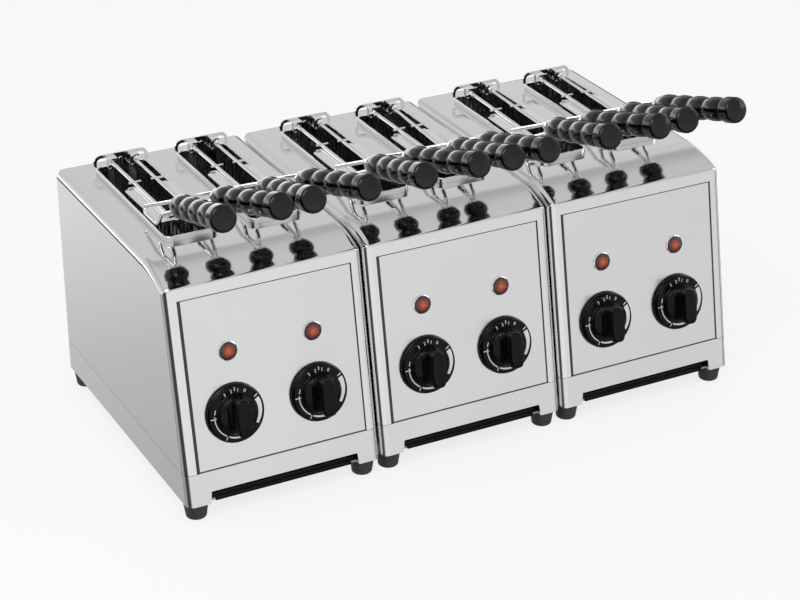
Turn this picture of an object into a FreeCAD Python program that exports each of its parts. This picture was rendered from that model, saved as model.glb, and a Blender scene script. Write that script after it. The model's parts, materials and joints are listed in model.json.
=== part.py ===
import FreeCAD, Part
import math
import os

import Sketcher
from FreeCAD import Placement, Rotation, Vector

# Clamp toaster: three two-slot modules in a row, each slot with its own lift-out wire tong.
# Millimetres, +Z up. The fronts face -Y. The origin is under the middle of the whole object.
# Inside one module, across runs from its left side, deep from the plinth's front edge,
# and heights are above the table.

DIMENSIONS = [
    # the row of modules
    ("module_width", 178.5, "outside width of one module"),
    ("module_pitch", 180.0, "from one module's left side to the next one's"),
    ("depth", 284.5, "plinth's front edge to the rear wall"),
    ("body_height", 212.0, "table to the flat of the hood"),
    ("front_lean", 10.5, "lean of the fronts from upright, in degrees"),
    ("foot_height", 16.0, "table to the plinth"),
    ("sheet", 1.5, "case sheet"),
    ("corner_radius", 7.0, "case corners and hood edges, outside"),
    # the hood
    ("lip_drop", 10.5, "top of the hood to the lip's upper edge"),
    ("lip_width", 10.5, "height of the lip"),
    ("lip_top", "body_height - lip_drop", "upper edge of the lip at the hood's front"),
    ("lip_bottom", "lip_top - lip_width", "lower edge of that lip"),
    ("hood_bend_start", 79.0, "where the hood's flat starts to curve down"),
    ("lip_edge_radius", 3.0, "rounding where the hood meets the lip"),
    ("post_width", 11.0, "width of the front corner posts"),
    # the plinth and the crumb trays
    ("plinth_top", 43.7, "table to the plinth's upper edge"),
    ("seam", 0.3, "line between plinth and case"),
    ("plinth_sheet", 1.8, "plinth sheet"),
    ("cutout_top", 26.3, "upper edge of the plinth's front cut-out"),
    ("cutout_side", 22.0, "plinth's side to the cut-out"),
    ("cutout_flare", 1.5, "how much wider the cut-out is at its foot, each side"),
    ("rail_width", 26.0, "plinth's side to the inner edge of the tray's rail"),
    ("rear_strip", 24.0, "width of the strip across the plinth's back"),
    ("tray_clearance", 0.3, "under the tray"),
    ("tray_side_clearance", 0.8, "beside the tray, in the cut-out"),
    ("tray_height", 4.8, "tray's side walls, above the rails"),
    ("tray_sheet", 1.0, "tray sheet"),
    ("pan_clearance", 0.2, "tray's sunk pan above the plinth's lower edge"),
    ("pan_side", 7.0, "tray's side to its sunk pan"),
    ("pan_rear_gap", 2.0, "sunk pan to the plinth's rear strip"),
    ("tray_setback", 8.0, "plinth's front edge to the tray's front"),
    ("tray_rear_gap", 22.0, "tray's back to the rear wall"),
    # the feet
    ("foot_top_radius", 11.0, "rubber foot at the plinth"),
    ("foot_bottom_radius", 9.0, "rubber foot at the table"),
    ("foot_rounding", 2.0, "rubber foot's lower edge"),
    ("foot_inset", 12.0, "foot's centre from the side"),
    ("foot_depth_inset", 13.5, "foot's centre from the front edge and the rear wall"),
    ("foot_nub_radius", 3.0, "rubber foot in the plinth's hole"),
    # the slots and their collars
    ("slot_offset", 53.3, "module's left side to the middle of the first slot"),
    ("slot_pitch", 77.0, "between the two slots"),
    ("slot_half_width", 22.5, "half the clear width of a slot"),
    ("slot_front", 98.0, "clear front end of a slot"),
    ("slot_back_gap", 25.3, "slot's rear end to the rear wall"),
    ("slot_back", "depth - slot_back_gap", "clear rear end of a slot"),
    ("collar_sheet", 2.0, "collar wall"),
    ("collar_rise", 5.0, "collar above the hood"),
    ("collar_drop", 12.0, "collar below the top of the hood"),
    ("collar_corner", 5.0, "collar's inside corners, in plan"),
    ("collar_flange", 3.0, "collar's flange under the hood"),
    ("collar_clearance", 0.2, "between collar and hood"),
    # the front panels with lamps, knobs and timers
    ("panel_sheet", 1.5, "front panel sheet"),
    ("panel_side", 8.0, "module's side to the panel's end, behind its post"),
    ("panel_lap", 5.0, "panel behind the lip"),
    ("knob_offset", 50.5, "module's left side to the first knob and lamp"),
    ("knob_pitch", 76.5, "between the two knobs, and the two lamps"),
    ("knob_height", 88.0, "table to a knob's centre, on the front plane"),
    ("lamp_height", 141.0, "table to a lamp's centre, on the front plane"),
    ("skirt_radius", 25.6, "knob's dial at its foot"),
    ("skirt_face_radius", 24.2, "knob's dial at its face"),
    ("skirt_gap", 1.0, "under the knob's dial"),
    ("skirt_height", 4.5, "thickness of the knob's dial"),
    ("hub_radius", 17.5, "raised middle of the knob, at its foot"),
    ("hub_top_radius", 16.8, "raised middle of the knob, at its top"),
    ("hub_height", 3.5, "raised middle above the dial"),
    ("grip_bar_width", 13.0, "bar across the knob"),
    ("grip_bar_reach", 16.3, "knob's middle to the bar's rounded ends"),
    ("grip_bar_height", 14.5, "bar above the knob's raised middle"),
    ("grip_bar_corner", 3.5, "upright corners of the bar"),
    ("grip_bar_rounding", 2.0, "upper edges of the bar"),
    ("shaft_radius", 3.0, "timer shaft"),
    ("shaft_length", 22.0, "timer shaft behind the panel's face"),
    ("running_clearance", 0.05, "radial, shaft or pin in its hole"),
    ("bush_radius", 5.0, "timer's bush in the panel"),
    ("bush_stand", 0.6, "timer's bush in front of the panel's face"),
    ("hole_clearance", 0.2, "radial, round a bush or barrel in the panel"),
    ("timer_width", 44.0, "timer case"),
    ("timer_depth", 36.0, "timer case behind the panel"),
    ("lamp_flange_radius", 8.4, "lamp bezel"),
    ("lamp_flange_height", 1.6, "lamp bezel in front of the panel"),
    ("lamp_barrel_radius", 7.0, "lamp bezel in the panel"),
    ("lamp_barrel_length", 11.0, "lamp bezel behind the panel's face"),
    ("lens_radius", 6.1, "lamp lens"),
    ("lens_clearance", 0.1, "radial, lens in its bezel"),
    ("lens_length", 9.0, "lens behind the panel's face"),
    ("lens_stand", 1.2, "lens's edge in front of the panel's face"),
    ("lens_dome", 1.4, "lens's dome above its edge"),
    # the rear covers and what is in them
    ("rear_opening_side", 14.0, "module's side to the opening in the rear wall"),
    ("rear_opening_bottom", 60.0, "lower edge of that opening"),
    ("rear_opening_drop", 26.0, "top of the hood to that opening"),
    ("rear_opening_top", "body_height - rear_opening_drop", "upper edge of that opening"),
    ("rear_cover_lap", 7.0, "rear cover beyond the opening"),
    ("rear_cover_sheet", 1.2, "rear cover sheet"),
    ("vent_width", 70.0, "length of a vent slot"),
    ("vent_height", 4.0, "height of a vent slot"),
    ("vent_pitch", 10.0, "between vent slots"),
    ("vent_drop", 58.0, "opening's upper edge to the lowest vent slot"),
    ("vent_start", "rear_opening_top - vent_drop", "table to the lowest vent slot"),
    ("screw_radius", 2.0, "case screw"),
    ("screw_head_radius", 4.0, "case screw's head"),
    ("screw_head_height", 2.2, "case screw's head above the rear wall"),
    ("screw_inset", 15.0, "case screw from the opening's upper and lower edges"),
    ("gland_height", 84.0, "table to the cable gland's centre"),
    ("gland_radius", 9.0, "cable gland's nut"),
    ("gland_barrel_radius", 7.0, "cable gland in the cover"),
    ("gland_bore", 4.0, "cable gland's bore radius"),
    ("gland_stand", 12.0, "cable gland behind the rear wall"),
    ("gland_inner", 8.0, "cable gland inside the rear wall"),
    ("tie_half_length", 22.0, "tie bar on each side of the joint between modules"),
    ("tie_width", 16.0, "tie bar"),
    ("tie_sheet", 1.5, "tie bar"),
    ("tie_inset", 62.0, "tie bar from the plinth's front edge and the rear wall"),
    # the elements and the frames that hold them
    ("bulkhead_sheet", 1.5, "upright plates of the element frame"),
    ("bulkhead_gap", 5.0, "slot's ends to those plates"),
    ("bulkhead_drop", 16.0, "top of the hood to those plates"),
    ("bulkhead_top", "body_height - bulkhead_drop", "upper edge of those plates"),
    ("bulkhead_side", 8.0, "module's side to those plates"),
    ("bulkhead_foot", 12.0, "width of those plates' feet, on the rails"),
    ("bulkhead_arch", 28.0, "table to the plates' lower edge over the tray"),
    ("element_offset", 31.0, "slot's middle to its elements"),
    ("element_radius", 4.5, "quartz tube"),
    ("element_hole_clearance", 0.3, "radial, quartz tube in its plates"),
    ("element_drop", 111.0, "plates' upper edge to the lowest tube"),
    ("element_low", "bulkhead_top - element_drop", "table to the lowest tube"),
    ("element_pitch", 38.0, "between tubes"),
    ("element_cap_radius", 6.5, "ceramic end cap"),
    ("element_cap_length", 7.0, "ceramic end cap"),
    ("guard_offset", 24.5, "slot's middle to its guard wires"),
    ("guard_radius", 1.25, "guard wire"),
    ("guard_drop", 130.0, "plates' upper edge to the lowest guard wire"),
    ("guard_low", "bulkhead_top - guard_drop", "table to the lowest guard wire"),
    ("guard_pitch", 24.0, "between guard wires"),
    # the tongs: across is from the middle of the slot
    ("bar_offset", 10.2, "slot's middle to a jaw's top bar"),
    ("bar_rise", 10.0, "top of the hood to the top bars"),
    ("bar_height", "body_height + bar_rise", "table to the top bars"),
    ("bar_radius", 2.0, "top bar wire"),
    ("bar_front", 125.0, "where a top bar starts to rise to its grip"),
    ("pivot_gap", 6.7, "jaw pivots to the slot's rear end"),
    ("pivot_deep", "slot_back - pivot_gap", "jaw pivots"),
    ("pin_radius", 1.5, "pivot pin"),
    ("eye_radius", 3.6, "jaw's eye round its pin"),
    ("eye_half_height", 3.7, "half the height of the eye"),
    ("grip_across", 18.0, "slot's middle to the foot of a grip"),
    ("grip_deep", 83.0, "foot of a grip"),
    ("grip_foot_rise", 28.0, "top bars to the foot of a grip"),
    ("grip_foot_height", "bar_height + grip_foot_rise", "table to the foot of a grip"),
    ("grip_end_across", 24.2, "slot's middle to the end of a grip's axis"),
    ("grip_end_deep", -14.0, "end of a grip's axis"),
    ("grip_end_rise", 30.0, "foot of a grip to the end of its axis"),
    ("grip_end_height", "grip_foot_height + grip_end_rise", "table to the end of a grip's axis"),
    ("grip_cap_radius", 11.3, "cap at a grip's end"),
    ("grip_cap_start", 4.0, "cap's start before the named end of the grip's axis"),
    ("grip_cap_length", 15.0, "cap at a grip's end"),
    ("grip_cap_rounding", 3.0, "cap's edges"),
    ("grip_cap_dome", 0.9, "cap's domed face"),
    ("grip_ring_radius", 10.6, "rings of a grip"),
    ("grip_groove_radius", 9.3, "grooves between the rings"),
    ("grip_neck_radius", 7.8, "neck before the end cap"),
    ("grip_neck_length", 3.0, "neck before the end cap"),
    ("grip_foot_radius", 8.4, "plain foot of a grip"),
    ("tang_clearance", 0.05, "radial, wire in a grip"),
    ("tang_room", 1.0, "beyond the end of the wire in a grip"),
    ("ferrule_radius", 7.0, "disc behind a grip"),
    ("ferrule_length", 4.0, "disc behind a grip"),
    ("grip_collar_length", 3.0, "plain foot of a grip"),
    ("tang_length", 26.0, "wire inside a grip"),
    ("bar_bend", 10.0, "bend of a jaw's wire"),
    ("loop_across", 22.6, "slot's middle to a side loop"),
    ("loop_radius", 1.7, "side loop wire"),
    ("loop_back", 147.0, "rear corner of a side loop"),
    ("loop_shoulder_rise", 2.5, "top bars to that corner's upper bend"),
    ("loop_shoulder", "bar_height + loop_shoulder_rise", "table to that bend"),
    ("loop_front", 120.0, "front end of the loop's lower run"),
    ("loop_rest_gap", 0.3, "loop over the collar's edge"),
    ("loop_rise_deep", 110.0, "middle of the loop's rise to its grip"),
    ("loop_rise", 10.0, "top bars to the middle of that rise"),
    ("loop_rise_height", "bar_height + loop_rise", "table to the middle of that rise"),
    ("grid_front", 127.0, "front upright of a jaw"),
    ("grid_back_gap", 16.2, "rear upright of a jaw to the slot's rear end"),
    ("grid_back", "slot_back - grid_back_gap", "rear upright of a jaw"),
    ("grid_bottom", 93.0, "table to a jaw's bottom bar"),
    ("grid_edge_radius", 1.75, "outer uprights and bottom bar"),
    ("grid_wire_radius", 1.0, "inner uprights"),
    ("wing_front", 122.0, "front end of a jaw's flat wing"),
    ("wing_back", 198.0, "rear end of a jaw's flat wing"),
    ("wing_edge", 21.6, "slot's middle to the wing's outer edge"),
    ("wing_sheet", 1.2, "wing sheet"),
    ("wing_bite", 0.4, "how far the wing sits into its bar's wire"),
    ("wing_corner", 4.0, "rear corner of the wing"),
    ("clip_radius", 1.1, "cross wire behind the wing"),
    ("clip_inner", 4.5, "slot's middle to the cross wire's inner end"),
    ("clip_outer", 16.0, "slot's middle to its outer end"),
    ("stop_deep", 117.3, "stop bolt on the left jaw"),
    ("stop_rise", 0.2, "top bars to the stop bolt"),
    ("stop_height", "bar_height + stop_rise", "table to the stop bolt"),
    ("stop_end", 1.5, "stop bolt beyond the slot's middle"),
    ("stop_radius", 1.6, "stop bolt"),
    ("stop_gap", 0.3, "stop bolt to the side loop's wire"),
    ("stop_nut_radius", 3.0, "stop bolt's nut"),
    ("stop_nut_end", 1.0, "slot's middle to the nut"),
    ("stop_nut_length", 8.0, "stop bolt's nut"),
    ("hanger_half_width", 25.6, "half the width of a tong's hanger plate"),
    ("hanger_sheet", 1.5, "hanger plate"),
    ("hanger_gap", 0.8, "hanger plate to the slot's rear end"),
    ("hanger_rise", 6.5, "top bars to the hanger's upper edge"),
    ("hanger_top", "bar_height + hanger_rise", "table to the hanger's upper edge"),
    ("hanger_arch", 2.8, "width of the hanger's arches"),
    ("hanger_corner", 7.0, "rounding of the arches"),
    ("hanger_panel", 13.2, "half the width of the hanger's middle"),
    ("hanger_length", 24.0, "top bars to the hanger's lower edge in the slot"),
    ("hanger_drop", "bar_height - hanger_length", "table to that lower edge"),
    ("hanger_rest_gap", 0.3, "hanger over the collar's edge"),
    ("tab_sheet", 1.2, "tabs that hold the pivot pins"),
    ("tab_half_width", 4.0, "half the width of a tab"),
    ("tab_gap", 0.3, "between a tab and a jaw's eye"),
    ("rivet_radius", 2.2, "rivet in the hanger's middle"),
    ("rivet_height", 1.0, "rivet's head"),
]

MODULES = ["left", "middle", "right"]
SLOTS_PER_MODULE = 2
GRIP_RINGS = 4
GRID_GAPS = 14
GUARD_WIRES = 6
ELEMENTS_PER_SIDE = 3
VENTS = 5
# Angle by which each tong stands squeezed at rest, in degrees
REST_SQUEEZE = [0.0, 0.0, 0.0, 1.6, 0.0, 0.0]
# Angle by which both jaws of each tong stand turned to the right (seen from the front), in degrees
TONG_TURN = [0.6, 0.6, -0.1, -0.9, -1.2, -1.2]

doc = FreeCAD.newDocument("ClampToaster")
sheet = doc.addObject("Spreadsheet::Sheet", "Sizes")


class Length:
    """A size with its number and the spreadsheet formula that gives it."""

    def __init__(self, value, text):
        self.value = float(value)
        self.text = text

    def _with(self, other, sign, value):
        return Length(value, "(" + self.text + " " + sign + " " + other.text + ")")

    def __add__(self, other):
        other = length(other)
        return self._with(other, "+", self.value + other.value)

    def __radd__(self, other):
        return length(other) + self

    def __sub__(self, other):
        other = length(other)
        return self._with(other, "-", self.value - other.value)

    def __rsub__(self, other):
        return length(other) - self

    def __mul__(self, other):
        other = length(other)
        return self._with(other, "*", self.value * other.value)

    def __rmul__(self, other):
        return length(other) * self

    def __truediv__(self, other):
        other = length(other)
        return self._with(other, "/", self.value / other.value)

    def __neg__(self):
        return length(0) - self


def length(value):
    """A plain number as a Length; a Length as it is."""
    if isinstance(value, Length):
        return value
    return Length(value, repr(float(value)))


def tangent(angle):
    return Length(math.tan(math.radians(angle.value)), "tan(" + angle.text + " * 1 deg)")


def cosine(angle):
    return Length(math.cos(math.radians(angle.value)), "cos(" + angle.text + " * 1 deg)")


def sine(angle):
    return Length(math.sin(math.radians(angle.value)), "sin(" + angle.text + " * 1 deg)")


def root(value):
    return Length(math.sqrt(value.value), "sqrt(" + value.text + ")")


def arc_cosine(value):
    return Length(math.degrees(math.acos(value.value)), "acos(" + value.text + ")")


class Sizes:
    """The sheet's cells by name. A size given as words follows the sizes that it names."""

    def __init__(self, rows):
        for row, (name, value, note) in enumerate(rows, start=1):
            follows = isinstance(value, str)
            sheet.set("A" + str(row), name)
            sheet.set("B" + str(row), "=" + value if follows else str(value))
            sheet.set("C" + str(row), note)
            sheet.setAlias("B" + str(row), name)
        sheet.recompute()
        for name, value, note in rows:
            setattr(self, name, Length(sheet.get(name), "Sizes." + name))


d = Sizes(DIMENSIONS)
doc.recompute()

# Angle from level to upright, in degrees
UPRIGHT = 90

# Places that several pieces share
SLOPE = tangent(d.front_lean)
LEAN_COS = cosine(d.front_lean)
LEAN_SIN = sine(d.front_lean)
ROW_WIDTH = d.module_pitch * (len(MODULES) - 1) + d.module_width
CASE_BOTTOM = d.plinth_top + d.seam
RAIL_TOP = d.foot_height + d.plinth_sheet
COLLAR_TOP = d.body_height + d.collar_rise
GRIP_RUN = d.grip_deep - d.grip_end_deep
GRIP_RISE = d.grip_end_height - d.grip_foot_height
GRIP_SPREAD = d.grip_end_across - d.grip_across
GRIP_LENGTH = root(GRIP_RUN * GRIP_RUN + GRIP_RISE * GRIP_RISE + GRIP_SPREAD * GRIP_SPREAD)
CAP_END = GRIP_LENGTH - d.grip_cap_start + d.grip_cap_length
CAP_EDGE = (CAP_END - d.grip_cap_rounding) / GRIP_LENGTH
CAP_ACROSS = d.grip_across + GRIP_SPREAD * CAP_EDGE - d.bar_offset
CAP_DEEP = d.pivot_deep - d.grip_deep + GRIP_RUN * CAP_EDGE
CAP_TILT = root(length(1) - GRIP_RUN * GRIP_RUN / (GRIP_LENGTH * GRIP_LENGTH))


def cap_reach(turn):
    """How far before its pivot the rounded edge of a cap comes, on a jaw turned towards the other."""
    return (
        CAP_DEEP * cosine(length(turn))
        + CAP_ACROSS * sine(length(turn))
        + (d.grip_cap_radius - d.grip_cap_rounding) * CAP_TILT
        + d.grip_cap_rounding
    )


jaw_turns = [
    squeeze + turn * side
    for squeeze, turn in zip(REST_SQUEEZE, TONG_TURN)
    for side in (1, -1)
]
FRONT_REACH = d.pivot_deep - max((cap_reach(turn) for turn in jaw_turns), key=lambda reach: reach.value)
REAR_REACH = d.depth + d.gland_stand
DEEP_ORIGIN = (FRONT_REACH + REAR_REACH) / 2
PANEL_TURN = length(UPRIGHT) - d.front_lean


def module_left(number):
    """Place across of a module's left side."""
    return d.module_pitch * number - ROW_WIDTH / 2


def slot_middle(number):
    """Place across of a slot's middle, counted over the whole row."""
    module, slot = divmod(number, SLOTS_PER_MODULE)
    return module_left(module) + d.slot_offset + d.slot_pitch * slot


def front_deep(height):
    """How deep the leaning front plane lies at a height."""
    return SLOPE * (height - d.foot_height)


def bind(thing, name, value):
    """Sets a property and ties it to its formula."""
    value = length(value)
    thing.setExpression(name, value.text)


def place(thing, across, deep, height, axis=None, angle=0):
    """Puts a thing at a place, turned about an axis by an angle in degrees."""
    across, deep, height = length(across), length(deep), length(height)
    turn = Rotation(Vector(*axis), length(angle).value) if axis else Rotation()
    thing.Placement = Placement(Vector(across.value, deep.value, height.value), turn)
    bind(thing, "Placement.Base.x", across)
    bind(thing, "Placement.Base.y", deep)
    bind(thing, "Placement.Base.z", height)
    if axis:
        bind(thing, "Placement.Rotation.Angle", angle)
    return thing


def place_on_panel(thing, across, height):
    """Puts a thing on the front panel's face, its own Z pointing out of the panel."""
    return place(
        thing,
        across,
        front_deep(height) + d.sheet * LEAN_COS,
        height - d.sheet * LEAN_SIN,
        (1, 0, 0),
        PANEL_TURN,
    )


def box(name, across, deep, height):
    """A block with named sides, its corner at the place it gets later."""
    block = doc.addObject("Part::Box", name)
    bind(block, "Length", across)
    bind(block, "Width", deep)
    bind(block, "Height", height)
    return block


def span_box(name, across, deep, height):
    """A block from three (from, to) pairs."""
    block = box(name, *(length(high) - low for low, high in (across, deep, height)))
    return place(block, across[0], deep[0], height[0])


def cylinder(name, radius, height):
    rod = doc.addObject("Part::Cylinder", name)
    bind(rod, "Radius", radius)
    bind(rod, "Height", height)
    return rod


def deep_rod(name, radius, across, deep, height):
    """A cylinder that runs from front to back, between two depths."""
    rod = cylinder(name, radius, length(deep[1]) - deep[0])
    return place(rod, across, deep[0], height, (-1, 0, 0), 90)


def across_rod(name, radius, across, deep, height):
    """A cylinder that runs from left to right."""
    rod = cylinder(name, radius, length(across[1]) - across[0])
    return place(rod, across[0], deep, height, (0, 1, 0), 90)


def cut(name, base, tools):
    """The base without its tools."""
    tool = tools[0] if len(tools) == 1 else joined(name + "_tools", tools)
    result = doc.addObject("Part::Cut", name)
    result.Base = base
    result.Tool = tool
    return result


def joined(name, things):
    """Things fused into one solid."""
    result = doc.addObject("Part::MultiFuse", name)
    result.Shapes = things
    return result


def group(name, things):
    """Separate solids that share a node."""
    result = doc.addObject("Part::Compound", name)
    result.Links = things
    return result


def rounded(name, base, radius_of):
    """Rounds the edges for which the function radius_of gives a radius."""
    doc.recompute()
    result = doc.addObject("Part::Fillet", name)
    result.Base = base
    radii = [radius_of(edge) for edge in base.Shape.Edges]
    result.Edges = [
        (i, r.value, r.value) for i, r in enumerate(radii, start=1) if r is not None
    ]
    return result


def copy_of(name, thing, across=0, deep=0, height=0, axis=None, angle=0):
    """The same thing once more, at another place."""
    return place(group(name, [thing]), across, deep, height, axis, angle)


# Sketches

def origin_plane(body, role):
    return next(f for f in body.Origin.OriginFeatures if f.Role == role)


def new_sketch(body, name, role, offset=None):
    """An empty sketch on one of the body's own planes, lifted off it by an offset."""
    sketch = body.newObject("Sketcher::SketchObject", name)
    sketch.AttachmentSupport = (origin_plane(body, role), [""])
    sketch.MapMode = "FlatFace"
    if offset is not None:
        sketch.AttachmentOffset = Placement(Vector(0, 0, length(offset).value), Rotation())
        bind(sketch, "AttachmentOffset.Base.z", offset)
    return sketch


def name_constraint(sketch, constraint, value):
    """Adds a sized constraint and ties it to its formula."""
    index = sketch.addConstraint(constraint)
    sketch.setExpression("Constraints[" + str(index) + "]", length(value).text)


def pin_point(sketch, edge, end, point):
    """Fixes an edge's end at a point that is given by two sizes."""
    for kind, value in zip(("DistanceX", "DistanceY"), point):
        value = length(value)
        name_constraint(
            sketch, Sketcher.Constraint(kind, -1, 1, edge, end, value.value), value
        )


def outline(sketch, points, radii=None):
    """
    A closed outline through points, each a pair of sizes.

    radii gives, for some edges, the radius of an arc in place of the straight line.
    A positive radius bulges to the right of the way the outline runs.
    """
    radii = radii or {}
    first = sketch.GeometryCount
    ends = points[1:] + points[:1]
    for number, (start, end) in enumerate(zip(points, ends)):
        a = Vector(length(start[0]).value, length(start[1]).value, 0)
        b = Vector(length(end[0]).value, length(end[1]).value, 0)
        if number in radii:
            radius = length(radii[number])
            sketch.addGeometry(arc_between(a, b, radius.value), False)
        else:
            sketch.addGeometry(Part.LineSegment(a, b), False)
    count = len(points)
    heads = [edge_ends(sketch, first + i, points[i]) for i in range(count)]
    for number in range(count):
        after = (number + 1) % count
        sketch.addConstraint(
            Sketcher.Constraint(
                "Coincident",
                first + number,
                3 - heads[number],
                first + after,
                heads[after],
            )
        )
    for number in range(count):
        pin_point(sketch, first + number, heads[number], points[number])
    for number, radius in radii.items():
        radius = length(radius)
        name_constraint(
            sketch,
            Sketcher.Constraint("Radius", first + number, abs(radius.value)),
            radius if radius.value > 0 else -radius,
        )


def arc_between(a, b, radius):
    """The shorter arc from a to b; a positive radius bulges to the right of that way."""
    way = b - a
    half = way.Length / 2
    size = abs(radius)
    left = Vector(-way.y, way.x, 0).normalize()
    sagitta = size - math.sqrt(max(size * size - half * half, 0))
    middle = (a + b) * 0.5 - left * math.copysign(sagitta, radius)
    return Part.Arc(a, middle, b)


def edge_ends(sketch, index, start):
    """Which end of an edge, 1 or 2, lies at its outline's own start point."""
    at_start = Vector(length(start[0]).value, length(start[1]).value, 0)
    one = sketch.getPoint(index, 1)
    two = sketch.getPoint(index, 2)
    return 1 if (one - at_start).Length <= (two - at_start).Length else 2


def circle(sketch, across, up, radius):
    """A circle with a sized place and radius."""
    across, up, radius = length(across), length(up), length(radius)
    index = sketch.addGeometry(
        Part.Circle(Vector(across.value, up.value, 0), Vector(0, 0, 1), radius.value), False
    )
    pin_point(sketch, index, 3, (across, up))
    name_constraint(sketch, Sketcher.Constraint("Radius", index, radius.value), radius)


def rectangle(sketch, low, high):
    outline(sketch, [low, (high[0], low[1]), high, (low[0], high[1])])


def new_body(name):
    return doc.addObject("PartDesign::Body", name)


def pad(body, sketch, amount, reverse=False):
    feature = body.newObject("PartDesign::Pad", sketch.Name + "_pad")
    feature.Profile = sketch
    feature.Reversed = reverse
    bind(feature, "Length", amount)
    sketch.Visibility = False
    return feature


def revolve(body, sketch):
    """Turns a sketch round the body's own Z axis."""
    feature = body.newObject("PartDesign::Revolution", sketch.Name + "_turned")
    feature.Profile = sketch
    feature.ReferenceAxis = (origin_plane(body, "Z_Axis"), [""])
    feature.Angle = 360
    return feature


def body_fillet(body, radius, chosen):
    """Rounds the edges of the body's tip that the function chosen picks."""
    doc.recompute()
    base = body.Tip
    names = [
        "Edge" + str(i)
        for i, edge in enumerate(base.Shape.Edges, start=1)
        if chosen(edge)
    ]
    feature = body.newObject("PartDesign::Fillet", base.Name + "_rounded")
    feature.Base = (base, names)
    bind(feature, "Radius", radius)
    return feature


ACROSS, DEEP, UP = range(3)
EDGE_SLACK = 0.02


def lies_at(edge, axis, *places):
    """True where the whole edge lies on one of the places along an axis."""
    box_of = edge.BoundBox
    low = (box_of.XMin, box_of.YMin, box_of.ZMin)[axis]
    high = (box_of.XMax, box_of.YMax, box_of.ZMax)[axis]
    return any(
        abs(low - length(at).value) < EDGE_SLACK
        and abs(high - length(at).value) < EDGE_SLACK
        for at in places
    )


def bent_wire(name, points, bends, radius):
    """
    A round wire through points, with a bend of its own radius at each inner point.

    Each bend is an arc that meets the straights without a kink.
    """
    corners = [Vector(*(length(c).value for c in point)) for point in points]
    edges = []
    start = corners[0]
    for before, corner, after, bend in zip(corners, corners[1:], corners[2:], bends):
        one = (before - corner).normalize()
        two = (after - corner).normalize()
        half = one.getAngle(two) / 2
        reach = bend / math.tan(half)
        inward = (one + two).normalize()
        middle = corner + inward * (bend / math.sin(half) - bend)
        edges.append(Part.makeLine(start, corner + one * reach))
        edges.append(Part.Arc(corner + one * reach, middle, corner + two * reach).toShape())
        start = corner + two * reach
    edges.append(Part.makeLine(start, corners[-1]))
    way = corners[1] - corners[0]
    ring = Part.Wire([Part.makeCircle(length(radius).value, corners[0], way)])
    wire = doc.addObject("Part::Feature", name)
    wire.Shape = Part.Wire(edges).makePipeShell([ring], True, False)
    return wire


# The cases

def side_form(name, inset, bottom):
    """
    The case's outer form, or the space inside it where inset is the sheet.

    Its side view is a leaning front, a lip, the hood's curve, a flat top and an upright
    back. The curve leaves the flat without a kink.
    """
    inset, bottom = length(inset), length(bottom)
    top = d.body_height - inset
    back = d.depth - inset
    run = d.hood_bend_start - front_deep(d.lip_top)
    fall = d.body_height - d.lip_top
    outer_radius = (run * run + fall * fall) / (fall * 2)
    # The curve's centre from the lip's upper edge: up the front plane, and out of it
    centre_up = run * LEAN_SIN + (fall - outer_radius) * LEAN_COS
    centre_out = (fall - outer_radius) * LEAN_SIN - run * LEAN_COS
    radius = outer_radius - inset
    reach = centre_out + inset
    climb = centre_up + root(radius * radius - reach * reach)
    lip_deep = front_deep(d.lip_top) + inset * LEAN_COS + climb * LEAN_SIN
    lip = d.lip_top - inset * LEAN_SIN + climb * LEAN_COS
    body = new_body(name)
    sketch = new_sketch(body, name + "_side", "YZ_Plane")
    outline(
        sketch,
        [
            (front_deep(bottom) + inset / LEAN_COS, bottom),
            (lip_deep, lip),
            (d.hood_bend_start, top),
            (back, top),
            (back, bottom),
        ],
        {1: -radius},
    )
    pad(body, sketch, d.module_width - inset * 2)
    corner = d.corner_radius - inset
    lip_corner = d.lip_edge_radius - inset

    def radius_of(edge):
        if lies_at(edge, UP, bottom):
            return None
        if lies_at(edge, ACROSS, 0, d.module_width - inset * 2):
            return corner
        if lies_at(edge, UP, lip) or (lies_at(edge, UP, top) and lies_at(edge, DEEP, back)):
            return lip_corner
        return None

    return place(rounded(name + "_rounded", body, radius_of), inset, 0, 0)


def rounded_slot(name, grow, low, high):
    """The form of a slot, grown on all sides, with rounded upright corners."""
    grow = length(grow)
    half = d.slot_half_width + grow
    block = span_box(name + "_block", (-half, half), (d.slot_front - grow, d.slot_back + grow),
                     (low, high))
    radius = d.collar_corner + grow
    return rounded(
        name,
        block,
        lambda edge: radius if edge.BoundBox.ZLength > 1 and lies_at(
            edge, ACROSS, -half, half) else None,
    )


collar_outside = rounded_slot(
    "collar_outside", d.collar_sheet, d.body_height - d.collar_drop, COLLAR_TOP)
collar_flange = rounded_slot(
    "collar_flange", d.collar_sheet + d.collar_flange,
    d.body_height - d.sheet * 2, d.body_height - d.sheet)
BEYOND = 5
collar_hole = rounded_slot(
    "collar_hole", 0, d.body_height - d.collar_drop - BEYOND, COLLAR_TOP + BEYOND)
hood_hole = rounded_slot(
    "hood_hole", d.collar_sheet + d.collar_clearance,
    d.body_height - BEYOND, d.body_height + BEYOND)
collar_sharp = cut("collar_sharp", joined("collar_blank", [collar_outside, collar_flange]),
                   [collar_hole])
COLLAR_EDGE = d.collar_sheet * 0.4
collar_form = rounded(
    "collar_form", collar_sharp,
    lambda edge: COLLAR_EDGE if lies_at(edge, UP, COLLAR_TOP) else None)

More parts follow.
